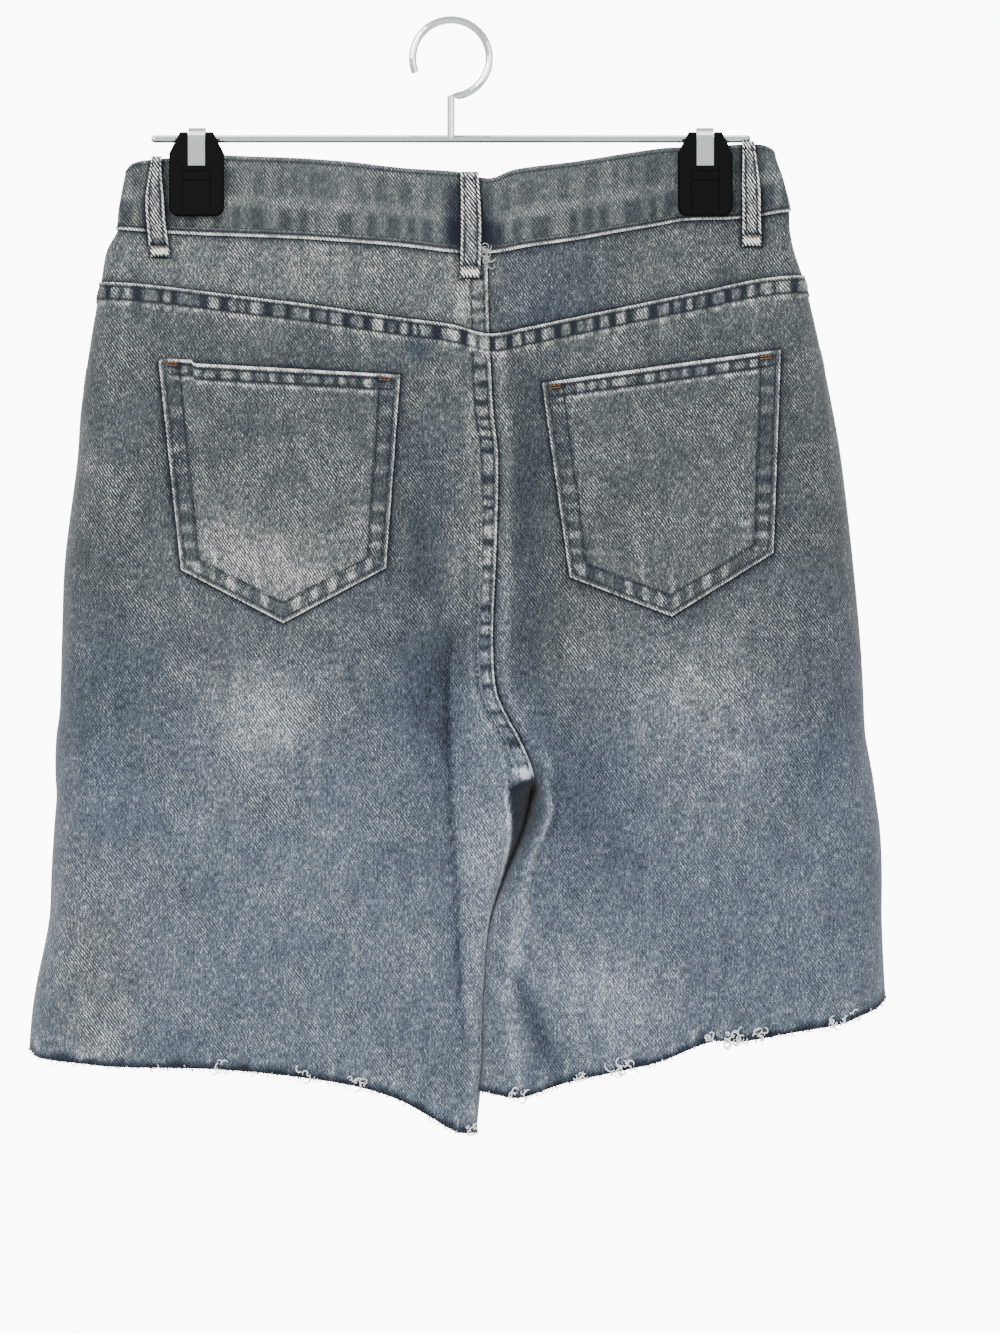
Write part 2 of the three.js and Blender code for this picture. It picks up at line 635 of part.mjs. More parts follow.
// A piece that lies on a face of the cloth, over the area that place(i, j) gives as { x, drop }
function laid(name, face, rows, columns, place, lift, thick, look) {
  const sample = (i, j) => {
    const spot = place(i, j);
    const half = spot.x < column(OUTLINE, "drop", spot.drop)("centre") ? LEFT : RIGHT;
    const way = wayTo(face, half, spot.x, spot.drop);
    const point = clothPoint(face, half, way, spot.drop);
    const normal = clothNormal(face, half, Math.max(way, 0.02), spot.drop);
    const off = lift(i, j, spot);
    return { point, normal, out: off + thick, in: -off };
  };
  add(garment, name, wall(rows, columns, sample), look);
}

function seatPocket(name, corners) {
  const { topOuter, topInner, footInner, footOuter, tip } = corners;
  const across = [0, 0.04, 0.14, 0.27, 0.4, 0.5, 0.6, 0.73, 0.86, 0.96, 1];
  const down = [0, 0.065, 0.07, 0.2, 0.34, 0.48, 0.62, 0.76, 0.88, 0.96, 1];
  const place = (i, j) => {
    const s = across[j];
    const t = down[i];
    const edge = s < 0.5 ? mix(footOuter.drop, tip, 2 * s) : mix(tip, footInner.drop, 2 * s - 1);
    const top = mix(topOuter.drop, topInner.drop, s);
    const x = mix(mix(topOuter.x, footOuter.x, t), mix(topInner.x, footInner.x, t), s);
    return { x, drop: mix(top, edge, t) };
  };
  laid(name, BACK, down.length, across.length, place, () => LIE, DENIM, DENIM_LOOK);
}

function beltLoop({ name, face, top, foot, below, base }) {
  const levels = [0, 0.05, 0.14, 0.3, 0.5, 0.7, 0.8, 0.87, 0.93, 1];
  const across = [-1, -0.4, 0.4, 1];
  const start = waistTop(face, top) + 0.6;
  const end = waistFoot(face, foot) + below;
  const place = (i, j) => {
    const t = levels[i];
    return { x: mix(top, foot, t) + across[j] * LOOP_HALF, drop: mix(start, end, t) };
  };
  const lift = (i) => {
    const t = levels[i];
    const onBand = BAND_RISE + SEAM_GAP;
    const rest = mix(onBand, base + LIE, smooth(t, 0.82, 0.95));
    return rest + LOOP_STAND * Math.sin(Math.PI * clamp(t / 0.93, 0, 1)) ** 0.8;
  };
  laid(name, face, levels.length, across.length, place, lift, LOOP_WALL, BAND_LOOK);
}

// The fly's folded edge and its facing, laid over both front panels
function fly() {
  const levels = [0, 0.15, 0.35, 0.55, 0.75, 0.9, 1];
  const across = [0, 0.2, 0.4, 0.6, 0.8, 1];
  const top = waistFoot(FRONT, FRONT_CENTRE) + 0.6;
  const place = (i, j) => {
    const drop = mix(top, FLY_END, levels[i]);
    const centre = column(OUTLINE, "drop", drop)("centre");
    const shrink = Math.sqrt(1 - (0.93 * levels[i]) ** 2);
    const left = centre - FLY_BACK * shrink;
    const right = centre + mix(FLY_OVER - 10, 1.5, levels[i]);
    return { x: mix(left, right, across[j]), drop };
  };
  laid("fly_flap", FRONT, levels.length, across.length, place, () => LIE, DENIM, DENIM_LOOK);
}

// A shank button on the overlapping end of the waistband
function waistButton() {
  const profile = [
    [0, 0],
    [BUTTON_RADIUS - 0.9, 0],
    [BUTTON_RADIUS, 0.8],
    [BUTTON_RADIUS - 0.2, 1.9],
    [BUTTON_RADIUS - 1.8, 2.6],
    [BUTTON_RADIUS - 3, 2.2],
    [0, 2.6],
  ].map(([radius, height]) => new THREE.Vector2(radius, height));
  const geometry = new THREE.LatheGeometry(profile, 24);
  const drop = (waistTop(FRONT, 20) + waistFoot(FRONT, 20)) / 2;
  const seat = clothPoint(FRONT, RIGHT, 0.3, drop);
  const mesh = add(garment, "waist_button", geometry, BRASS);
  const out = clothNormal(FRONT, RIGHT, 0.3, drop);
  mesh.position.copy(seat).addScaledVector(out, BAND_RISE + 2 * LIE);
  mesh.quaternion.setFromUnitVectors(new THREE.Vector3(0, 1, 0), out);
}

// Solids for cutting and joining
function solid(geometry) {
  const bare = geometry.clone();
  ["normal", "uv"].forEach((name) => bare.deleteAttribute(name));
  const merged = mergeVertices(bare, 1e-4);
  const data = { numProp: 3 };
  data.vertProperties = new Float32Array(merged.attributes.position.array);
  data.triVerts = new Uint32Array(merged.index.array);
  return new wasm.Manifold(new wasm.Mesh(data));
}

function geometryOf(made) {
  const mesh = made.getMesh();
  const geometry = new THREE.BufferGeometry();
  geometry.setAttribute("position", new THREE.Float32BufferAttribute(mesh.vertProperties, 3));
  geometry.setIndex(Array.from(mesh.triVerts));
  geometry.computeVertexNormals();
  return geometry;
}

function block(x0, x1, y0, y1, z0, z1) {
  const geometry = new THREE.BoxGeometry(x1 - x0, y1 - y0, z1 - z0);
  geometry.translate((x0 + x1) / 2, (y0 + y1) / 2, (z0 + z1) / 2);
  return solid(geometry);
}

// One pad of a clip, seen from the front: x from the clip's middle, heights as drops below the bar
function padSolid() {
  const outline = new THREE.Shape();
  outline.moveTo(-CLIP_TOP_HALF, -CLIP_TOP);
  outline.lineTo(-CLIP_HALF, -CLIP_SHOULDER);
  outline.lineTo(-CLIP_HALF, -CLIP_FOOT + CLIP_CORNER);
  const corner = { x: CLIP_HALF - CLIP_CORNER, y: -CLIP_FOOT + CLIP_CORNER };
  outline.absarc(-corner.x, corner.y, CLIP_CORNER, Math.PI, 1.5 * Math.PI, false);
  outline.absarc(corner.x, corner.y, CLIP_CORNER, 1.5 * Math.PI, 2 * Math.PI, false);
  outline.lineTo(CLIP_HALF, -CLIP_SHOULDER);
  outline.lineTo(CLIP_TOP_HALF, -CLIP_TOP);
  outline.closePath();
  const plate = new THREE.ExtrudeGeometry(outline, {
    depth: PAD_OUT - PAD_IN - 1,
    bevelThickness: 1,
    bevelSize: 1,
    bevelOffset: -1,
    bevelSegments: 1,
    curveSegments: 4,
  });
  plate.translate(0, 0, 1);
  plate.rotateX(Math.PI / 2);
  plate.translate(0, -PAD_IN + 1, 0);
  const past = PAD_OUT + 1;
  const keep = block(-CLIP_HALF - 1, CLIP_HALF + 1, -past, -PAD_IN, -CLIP_FOOT - 1, -CLIP_TOP + 1);
  const cradleHalf = CLIP_TOP_HALF - 1;
  const cradle = block(-cradleHalf, cradleHalf, -PAD_IN - 0.5, -CRADLE_IN, -CRADLE_FOOT, -CLIP_TOP - 0.5);
  const notch = block(-NOTCH_HALF, NOTCH_HALF, -past, 0, -NOTCH_FOOT, -CLIP_TOP + 2);
  const cut = { half: 0.4, floor: -PAD_OUT + 0.7 };
  const grooves = [-7.2, 7.2].map((x) => block(x - cut.half, x + cut.half, -past, cut.floor, -38, -15));
  const bars = [-17.2, -22].map((z) => block(-6.5, 6.5, -past, cut.floor, z - cut.half, z + cut.half));
  let pad = solid(plate).intersect(keep).add(cradle).subtract(notch);
  [...grooves, ...bars].forEach((groove) => {
    pad = pad.subtract(groove);
  });
  return pad;
}

// The spring steel strip that arches over the bar and draws the two pads together
function springGeometry() {
  const centre = -SPRING_TOP - SPRING_OUT;
  const inside = SPRING_OUT - SPRING_STEEL;
  const outline = new THREE.Shape();
  const foot = -NOTCH_FOOT + SEAM_GAP;
  outline.moveTo(-SPRING_OUT, foot);
  outline.absarc(0, centre, SPRING_OUT, Math.PI, 0, true);
  outline.lineTo(SPRING_OUT, foot);
  outline.lineTo(inside, foot);
  outline.absarc(0, centre, inside, 0, Math.PI, false);
  outline.lineTo(-inside, foot);
  outline.closePath();
  const settings = { depth: 2 * SPRING_HALF, bevelEnabled: false, curveSegments: 16 };
  const strip = new THREE.ExtrudeGeometry(outline, settings);
  strip.translate(0, 0, -SPRING_HALF);
  strip.rotateX(Math.PI / 2);
  strip.rotateZ(Math.PI / 2);
  return strip;
}

function clips() {
  const pad = geometryOf(padSolid());
  const spring = springGeometry();
  for (const [side, half] of [["left", LEFT], ["right", RIGHT]]) {
    const clip = new THREE.Group();
    clip.position.set(half * CLIP_X, 0, -HOOK_REACH);
    add(clip, "clip_pad_back_" + side, pad, PLASTIC);
    const other = add(clip, "clip_pad_front_" + side, pad, PLASTIC);
    other.rotation.z = Math.PI;
    add(clip, "clip_spring_" + side, spring, CHROME);
    hanger.add(clip);
  }
}

// The wire hanger: a straight bar with round ends, and a shank that bends into the open hook
class HookPath extends THREE.Curve {
  getPoint(t) {
    const bend = HOOK_RADIUS + WIRE / 2;
    const centre = -HOOK_RADIUS;
    const shank = HOOK_REACH - HOOK_RADIUS - bend;
    const sweep = 1.12 * Math.PI;
    const neck = bend * (Math.PI / 2);
    const total = shank + neck + bend * sweep;
    const run = t * total;
    if (run < shank) return new THREE.Vector3(0, 0, -HOOK_REACH + run);
    const angle = -Math.PI / 2 + (run - shank) / bend;
    const ease = smooth(run, shank, shank + 6);
    return new THREE.Vector3(bend * Math.cos(angle) * ease, 0, centre + bend * Math.sin(angle));
  }
}

function wireHanger() {
  const round = new THREE.Shape().absarc(0, 0, WIRE / 2, 0, 2 * Math.PI, false);
  const settings = { steps: 34, curveSegments: 5, extrudePath: new HookPath() };
  const hook = new THREE.ExtrudeGeometry(round, settings);
  const ends = [];
  for (let k = 0; k <= 3; k += 1) {
    const angle = (k / 3) * (Math.PI / 2);
    ends.push([(WIRE / 2) * Math.sin(angle), BAR_HALF - (WIRE / 2) * (1 - Math.cos(angle))]);
  }
  const profile = [...ends.map(([r, z]) => [r, -z]), ...[...ends].reverse()];
  const bar = new THREE.LatheGeometry(
    profile.map(([r, z]) => new THREE.Vector2(r, z)),
    12,
  );
  bar.rotateZ(Math.PI / 2);
  bar.translate(0, 0, -HOOK_REACH);
  add(hanger, "hanger_wire", geometryOf(solid(bar).add(solid(hook))), CHROME);
}

waistband();
for (const [side, half] of [["left", LEFT], ["right", RIGHT]]) {
  yoke("yoke_" + side, half);
  backPanel("back_" + side, half);
  frontPanel("front_" + side, half);
  pocketFacing("front_pocket_facing_" + side, half);
  seatPocket("seat_pocket_" + side, POCKETS[side]);
}
fly();
waistButton();
LOOPS.forEach(beltLoop);
clips();
wireHanger();

const shorts = new THREE.Group();
shorts.add(garment, hanger);
export default shorts;
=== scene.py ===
"""Denim shorts with cut-off legs on a two-clip wire hanger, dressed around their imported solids.

The garment's own measures are in millimetres, as a maker notes them, and meshes are made in metres.
A "drop" is a distance straight down from the axis of the hanger's bar. The seat side faces -Y.
A "way" runs across one half: 0 at the centre seam or inseam, 1 and 2 where the rounded edges end,
and 3 at the side seam.
"""

import math
import random

import bmesh
import bpy
import numpy as np
from bpy.props import FloatProperty, FloatVectorProperty, IntProperty, PointerProperty
from mathutils import Matrix, Vector


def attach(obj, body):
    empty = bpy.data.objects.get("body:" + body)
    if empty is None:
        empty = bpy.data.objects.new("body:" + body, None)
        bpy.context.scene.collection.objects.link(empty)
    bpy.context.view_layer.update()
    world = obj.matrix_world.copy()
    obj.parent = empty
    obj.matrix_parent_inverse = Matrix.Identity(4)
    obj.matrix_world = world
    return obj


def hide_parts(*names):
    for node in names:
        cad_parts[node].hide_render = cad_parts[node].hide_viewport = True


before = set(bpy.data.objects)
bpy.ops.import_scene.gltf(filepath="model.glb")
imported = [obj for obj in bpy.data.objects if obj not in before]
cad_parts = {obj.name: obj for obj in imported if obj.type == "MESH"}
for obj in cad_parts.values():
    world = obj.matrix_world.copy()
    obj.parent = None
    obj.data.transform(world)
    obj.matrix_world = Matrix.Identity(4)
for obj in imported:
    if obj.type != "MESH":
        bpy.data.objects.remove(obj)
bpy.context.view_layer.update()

bl_info = {
    "name": "Denim Shorts Dresser",
    "version": (1, 0, 0),
    "blender": (4, 5, 0),
    "location": "View3D > Sidebar > Shorts",
    "description": "Sews, fades and frays a pair of hanging denim shorts around their packed solids",
    "category": "Object",
}

MM = 0.001
BACK, FRONT, LEFT, RIGHT = -1, 1, -1, 1
SIDES = (("left", LEFT), ("right", RIGHT))

# Driving sizes, the same as the solids'
HOOK_REACH = 60
LEG_LAP = 1.5
BAND_RISE = 1.0
BAND_WALL = 2.4
FOLD_RISE = 0.9
FELL_WIDTH = 10.0
SEAT_TURN = 310.0
CROTCH = 338.5
FRONT_WAIST_DIP = 7.0
FRONT_HEM_LIFT = 4.0
CLIP_X = 132.0
PINCH_DEPTH, PINCH_FLAT, PINCH_FADE, PINCH_HOLD, PINCH_RELEASE = 1.65, 21.0, 60.0, 46.0, 126.0
FRONT_CENTRE, FLY_OVER, FLY_BACK, FLY_END = 6.0, 15.0, 28.0, 172.0
MOUTH_WIDTH, MOUTH_FALL, MOUTH_START, MOUTH_GAP = 78.0, 72.0, 2.5, 0.6
LOOP_HALF, LOOP_STAND, LOOP_WALL = 5.2, 3.0, 1.5
SEAM_ROWS = (0.24, 0.87)
PICTURE_SHAPE = 1.333
PATCH_RISE = 1.8


class Table:
    """A short table with named columns, the first of them the place along it, read as a smooth curve."""

    def __init__(self, names, rows):
        self.names = names.split()
        self.rows = np.array(rows, float)

    def at(self, place, name):
        where = self.rows[:, 0]
        value = self.rows[:, self.names.index(name)]
        slope = np.gradient(value)
        slope[1:-1] = (value[2:] - value[:-2]) / (where[2:] - where[:-2])
        slope[0] = (value[1] - value[0]) / (where[1] - where[0])
        slope[-1] = (value[-1] - value[-2]) / (where[-1] - where[-2])
        held = np.clip(place, where[0], where[-1])
        i = np.clip(np.searchsorted(where, held) - 1, 0, len(where) - 2)
        width = where[i + 1] - where[i]
        t = (held - where[i]) / width
        rise = 3 * t**2 - 2 * t**3
        bend = (t**3 - 2 * t**2 + t) * slope[i] + (t**3 - t**2) * slope[i + 1]
        return (1 - rise) * value[i] + rise * value[i + 1] + width * bend


OUTLINE = Table("drop left centre right", [
    (0, -163, 18, 166), (11, -166.5, 18.2, 168.5), (21, -169, 18.3, 172),
    (37, -172, 18.5, 175.8), (47, -173.2, 18.6, 176.3), (58, -178.9, 18.8, 178.4),
    (75, -182, 19.2, 184), (102, -186.8, 20, 190.5), (141, -192.4, 21.8, 198.6),
    (167, -194.3, 24.4, 203), (219, -200.7, 23.3, 209), (260, -202.3, 21.8, 212.8),
    (286, -203, 23.5, 214.4), (298, -203.5, 28.1, 214.8), (310, -205.1, 34.8, 215.6),
    (321, -205.7, 39.7, 217.5), (332, -205.6, 42.6, 219.5), (341, -205.1, 41.6, 220.7),
    (359, -206.4, 37.5, 223.1), (380, -207.7, 29.4, 224.1), (406, -209, 21.2, 224.1),
    (440, -215.7, 18, 225.6), (458, -218.2, 17.4, 227.2), (479, -219.4, 16.8, 228.3),
    (520, -219.4, 13, 228.3),
])
SECTIONS = Table("drop depth side left_in right_in", [
    (0, 8, 7, 10, 10), (48, 10, 9, 10, 10), (75, 16, 15, 10, 10), (105, 20, 20, 10, 10),
    (160, 25, 25, 10, 10), (240, 30, 30, 10, 10), (310, 32, 30, 10, 11), (340, 32, 30, 12, 14),
    (375, 31, 29, 8, 9), (405, 29, 28, 5.5, 4.5), (430, 28, 27, 5, 4), (520, 25, 25, 5, 4),
])
WAIST_TOP = Table("x drop", [
    (-170, 18), (-166, 13.5), (-160, 11.4), (-136, 9.4), (-118, 8.6), (-58, 12), (-26, 15.6),
    (3, 17.7), (20, 21), (33, 16.5), (67, 12), (109, 5), (130, 4.2), (160, 3), (168, 6),
    (172, 10),
])
WAIST_FOOT = Table("x drop", [
    (-173, 47.5), (-138, 49.9), (-99, 51.5), (-58, 54.1), (-26, 56.7), (5, 60.3), (22, 60.3),
    (39, 57.2), (67, 53), (88, 48.9), (110, 44.7), (122, 42.6), (150, 41.6), (176, 38),
])
YOKE_FOOT = Table("x drop", [
    (-182, 74.9), (-155, 77), (-105, 83.2), (-78, 86.5), (-26, 94.1), (0, 97.5), (20, 102.4),
    (40, 99), (60, 94.8), (98, 86.8), (133, 79.6), (159, 74), (184, 71.4),
])
HEM = {
    LEFT: Table("x drop", [
        (-219, 472.5), (-214, 476.3), (-193, 478.9), (-173, 481), (-122, 482), (-78, 486.2),
        (-47, 491.4), (-26, 498.2), (-10, 507), (3, 514.5), (13, 515),
    ]),
    RIGHT: Table("x drop", [
        (16, 493.5), (24, 495.4), (36, 496.8), (58, 489.6), (93, 482), (109, 477.9), (134, 468),
        (151, 467.6), (176, 463.3), (202, 458.6), (211, 455), (222, 450), (228, 443),
    ]),
}
# Crease and edge of the left leg's overlap, and rim of the right leg, beside and under the seat seam
OVERLAP = Table("drop crease crest rim", [
    (245, 4.6, 40, 42), (272, -1.3, 38, 43), (322, -1.3, 36, 46), (332, -1.2, 30, 50),
    (341, -0.6, 29.5, 52), (352, 0.2, 31, 52.5), (364, 0.9, 31, 47), (378, 1.8, 28, 42),
    (391, 2.6, 25, 39), (406, 3.3, 20.5, 34), (426, 4.2, 19, 31), (448, 5.2, 18, 30),
    (480, 7, 17, 30),
])
# Folds and creases: a bent path on one face, its half width, how far it stands out, and how much lighter or
# darker it is, partly from wear and partly painted: highlights on the lit ridges and shade in the dips
FOLDS = [
    # face, x, drop, middle x, middle drop, end x, end drop, half width, height, wear and painted light and
    # shade
    (BACK, -0.5, 260, 0.5, 356, 7, 470, 8, -2.6, -0.12),
    (BACK, -12, 165, -11, 240, -8, 300, 13, -2.4, -0.3),
    (BACK, 37, 125, 36, 190, 41, 262, 12, -2.2, -0.15),
    (BACK, 34, 436, 45, 462, 53, 480, 6, -2.8, -0.5),
    (BACK, 28, 440, 33, 470, 37, 498, 5, 2.4, 0.3),
    (BACK, 50, 322, 52, 350, 40, 388, 2.6, 1.6, 0.4),
    (BACK, 38, 392, 34, 420, 30, 444, 4, 0.8, 0.3),
    (BACK, 136, 317, 145, 319, 154, 324, 3, 0.8, 0.2),
    (BACK, -132, 271, -95, 266, -58, 264, 9, -1.3, -0.1),
    (BACK, -95, 320, -110, 400, -120, 482, 24, 3, 0.0),
    (BACK, -160, 330, -168, 400, -172, 482, 22, -2.5, 0.0),
    (BACK, 92, 350, 86, 420, 84, 485, 22, -2.5, 0.0),
    (BACK, 135, 330, 142, 400, 146, 470, 24, 3, 0.0),
    (FRONT, -100, 300, -110, 400, -112, 482, 20, -2.5, 0.0),
    (FRONT, 110, 300, 120, 400, 124, 470, 20, -2.5, 0.0),
    (FRONT, -30, 300, -70, 250, -110, 225, 15, 2, 0.1),
    (FRONT, 75, 305, 110, 255, 140, 230, 15, 2, 0.1),
]
POCKETS = {
    # outer top, inner top, inner foot, outer foot, each as (x, drop), and the drop of the tip
    "left": ((-150.8, 117), (-26, 123.8), (-33.3, 223.6), (-138.8, 224.6), 252),
    "right": ((47.3, 127.9), (170.6, 110.8), (166.4, 215.8), (61.4, 228.3), 248.6),
}
LOOPS = {
    # face, x at the top, x at the foot, reach below the waistband, rise of what lies under it
    "back_left": (BACK, -152.9, -150.6, 12.5, 0),
    "back_centre": (BACK, 9.6, 9.9, 12.5, FOLD_RISE),
    "back_right": (BACK, 154.6, 156.4, 15, 0),
    "front_left": (FRONT, -92, -94, 11, 0.4),
    "front_right": (FRONT, 100, 102, 11, 0.4),
}


def ramp(low, high, value):
    """0 below low, 1 above high, eased between."""
    t = np.clip((value - low) / (high - low), 0, 1)
    return t * t * (3 - 2 * t)


def bell(value, middle, half_width):
    return np.exp(-(((value - middle) / half_width) ** 2))


def wander(seed, *places):
    """A smooth, uneven value from -1 to 1 over places given in wave lengths."""
    draw = random.Random(seed)
    total = 0
    for _ in range(5):
        phase = draw.uniform(0, 2 * math.pi)
        wave = phase
        for place in places:
            wave = wave + place * 2 * math.pi * draw.uniform(0.45, 1.25) * draw.choice((-1, 1))
        total = total + np.sin(wave)
    return total / 3.2


# The cloth's form

def seam_depth(drop):
    """Share of the seat's depth that the centre seam keeps, as it turns under in a quarter of an ellipse."""
    fall = np.clip((drop - SEAT_TURN) / (CROTCH - SEAT_TURN), 0, 1)
    return np.sqrt(1 - fall * fall)


def pinched(x, drop):
    across = 1 - ramp(PINCH_FLAT, PINCH_FADE, np.abs(np.abs(x) - CLIP_X))
    down = 1 - np.clip((drop - PINCH_HOLD) / (PINCH_RELEASE - PINCH_HOLD), 0, 1)
    return across * down * down


def fold_share(fold, x, drop):
    """How near a place is to a fold's ridge, 0 to 1, less towards the fold's two ends."""
    _, ax, ad, mx, md, bx, bd, half_width = fold[:8]
    away = np.full(np.shape(x), np.inf)
    along = np.zeros(np.shape(x))
    for i, (px, pd, qx, qd) in enumerate(((ax, ad, mx, md), (mx, md, bx, bd))):
        square = (qx - px) ** 2 + (qd - pd) ** 2
        t = np.clip(((x - px) * (qx - px) + (drop - pd) * (qd - pd)) / square, 0, 1)
        reach = np.hypot(x - px - t * (qx - px), drop - pd - t * (qd - pd))
        along = np.where(reach < away, (i + t) / 2, along)
        away = np.minimum(reach, away)
    swell = 0.35 + 0.65 * np.sin(np.pi * (0.8 * along + 0.1))
    return swell * np.exp(-((away / half_width) ** 2))


def fullness(face, x, drop):
    depth = SECTIONS.at(drop, "depth")
    held = depth + (PINCH_DEPTH - depth) * pinched(x, drop)
    for fold in FOLDS:
        if fold[0] == face:
            held = held + fold[8] * fold_share(fold, x, drop)
    return held


def cloth(face, half, way, drop):
    """Points of the plain outer face of the cloth."""
    way, drop = np.broadcast_arrays(np.asarray(way, float), np.asarray(drop, float))
    side = "left" if half == LEFT else "right"
    lap = 0 if half == LEFT else LEG_LAP * ramp(CROTCH, CROTCH + 40, drop)
    inner = OUTLINE.at(drop, "centre") - half * lap
    outer = OUTLINE.at(drop, side)
    inner_round = SECTIONS.at(drop, side + "_in")
    side_round = SECTIONS.at(drop, "side")
    kept = seam_depth(drop)
    start = inner + half * inner_round
    x = start + (outer - half * side_round - start) * np.clip(way - 1, 0, 1)
    turn = np.clip(way, 0, 1) * math.pi / 2
    flat = kept * way + (1 - kept) * (1 - np.cos(turn))
    x = np.where(way < 1, inner + half * inner_round * flat, x)
    sharp = 1 - 0.68 * ramp(CROTCH + 25, CROTCH + 80, drop)
    share = np.where(way < 1, kept + (1 - kept) * np.sin(turn) ** sharp, 1.0)
    turn = np.clip(3 - way, 0, 1) * math.pi / 2
    x = np.where(way > 2, outer - half * side_round * (1 - np.cos(turn)), x)
    share = np.where(way > 2, np.sin(turn), share)
    y = face * share * fullness(face, x, drop)
    return np.stack([x, y, -HOOK_REACH - drop], axis=-1)


def way_to(face, half, x, drop):
    low, high = np.zeros(np.shape(x)), np.full(np.shape(x), 3.0)
    for _ in range(20):
        middle = (low + high) / 2
        short = half * cloth(face, half, middle, drop)[..., 0] < half * x
        low, high = np.where(short, middle, low), np.where(short, high, middle)
    return (low + high) / 2


def meet(face, half, way, edge):
    """The drop at which a way across the cloth meets an edge given over x."""
    drop = np.full(np.shape(way), 60.0)
    for _ in range(12):
        drop = edge(cloth(face, half, way, drop)[..., 0])
    return drop


def front_drop(face, table, x, limit):
    dip = 0 if face == BACK else FRONT_WAIST_DIP * (1 - np.clip(np.abs(x) / limit, 0, 1) ** 4)
    return table.at(x, "drop") + dip


def waist_top(face, x):
    return front_drop(face, WAIST_TOP, x, 172)


def waist_foot(face, x):
    return front_drop(face, WAIST_FOOT, x, 174)


def yoke_foot(x):
    return YOKE_FOOT.at(x, "drop")


def hem(face, half, x):
    table = HEM[half]
    drop = table.at(x, "drop")
    if face == BACK:
        return drop
    ends = table.rows[:, 0]
    t = np.clip((x - ends[0]) / (ends[-1] - ends[0]), 0, 1)
    return drop - FRONT_HEM_LIFT * 4 * t * (1 - t)


def mouth_fall(half, x, drop):
    side = OUTLINE.at(drop, "left" if half == LEFT else "right")
    inset = np.clip(half * (side - x), 0, MOUTH_WIDTH)
    return MOUTH_FALL * (1 - (inset / MOUTH_WIDTH) ** 2)


def mouth(half, x):
    foot = waist_foot(FRONT, x)
    return foot + mouth_fall(half, x, foot + 30)


# Meshes


class Sheet:
    """A grid of cloth points in millimetres, with its outward directions, how much dye it has lost and where
    shade and highlights are painted on it.
    """

    def __init__(self, points, face):
        self.points = points
        down = np.gradient(points, axis=0)
        across = np.gradient(points, axis=1)
        out = np.cross(across, down)
        out /= np.maximum(np.linalg.norm(out, axis=-1, keepdims=True), 1e-9)
        rows, columns = points.shape[:2]
        front = out[rows // 2, columns // 2, 1] * face > 0
        self.out = out if front else -out
        self.x = points[..., 0]
        self.drop = -HOOK_REACH - points[..., 2]
        self.fade = np.zeros(points.shape[:2])
        self.tone = np.zeros(points.shape[:2])
        steps = np.linalg.norm(np.diff(points, axis=1), axis=-1)
        steps *= np.sign(np.diff(self.x, axis=1)) * -face
        run = np.concatenate([0 * self.x[:, :1], np.cumsum(steps, axis=1)], axis=1)
        middle = columns // 2
        self.u = run - run[:, middle:middle + 1] - face * self.x[:, middle:middle + 1]

    def lift(self, rise):
        self.points = self.points + self.out * np.asarray(rise)[..., None]

    def from_seam(self, across):
        """Distance in from the inner edge of a panel whose columns lie at the ways across it."""
        turn = int(np.argmin(np.abs(across - 1)))
        beyond = FELL_WIDTH + np.abs(self.x - self.x[:, turn:turn + 1])
        return np.where(across[None, :] < 1, across[None, :] * FELL_WIDTH, beyond)

    def at(self, row, column):
        """Point and outward direction at fractional rows and columns of the grid."""
        row, column = np.broadcast_arrays(row, column)
        i = np.clip(np.floor(row).astype(int), 0, self.points.shape[0] - 2)
        j = np.clip(np.floor(column).astype(int), 0, self.points.shape[1] - 2)
        a, b = (row - i)[:, None], (column - j)[:, None]
        found = []
        for grid in (self.points, self.out):
            upper = grid[i, j] * (1 - b) + grid[i, j + 1] * b
            lower = grid[i + 1, j] * (1 - b) + grid[i + 1, j + 1] * b
            found.append(upper * (1 - a) + lower * a)
        return found

    def flat_size(self):
        """Area, greatest width and greatest length in metres."""
        a = np.diff(self.points, axis=0)[:, :-1]
        b = np.diff(self.points, axis=1)[:-1]
        area = np.linalg.norm(np.cross(a, b), axis=-1).sum()
        width = np.linalg.norm(np.diff(self.points, axis=1), axis=-1).sum(axis=1).max()
        length = np.linalg.norm(np.diff(self.points, axis=0), axis=-1).sum(axis=0).max()
        return area * MM * MM, width * MM, length * MM


def link(name, mesh, look):
    piece = bpy.data.objects.new(name, mesh)
    bpy.context.scene.collection.objects.link(piece)
    mesh.materials.append(look)
    mesh.shade_smooth()
    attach(piece, "root")
    return piece


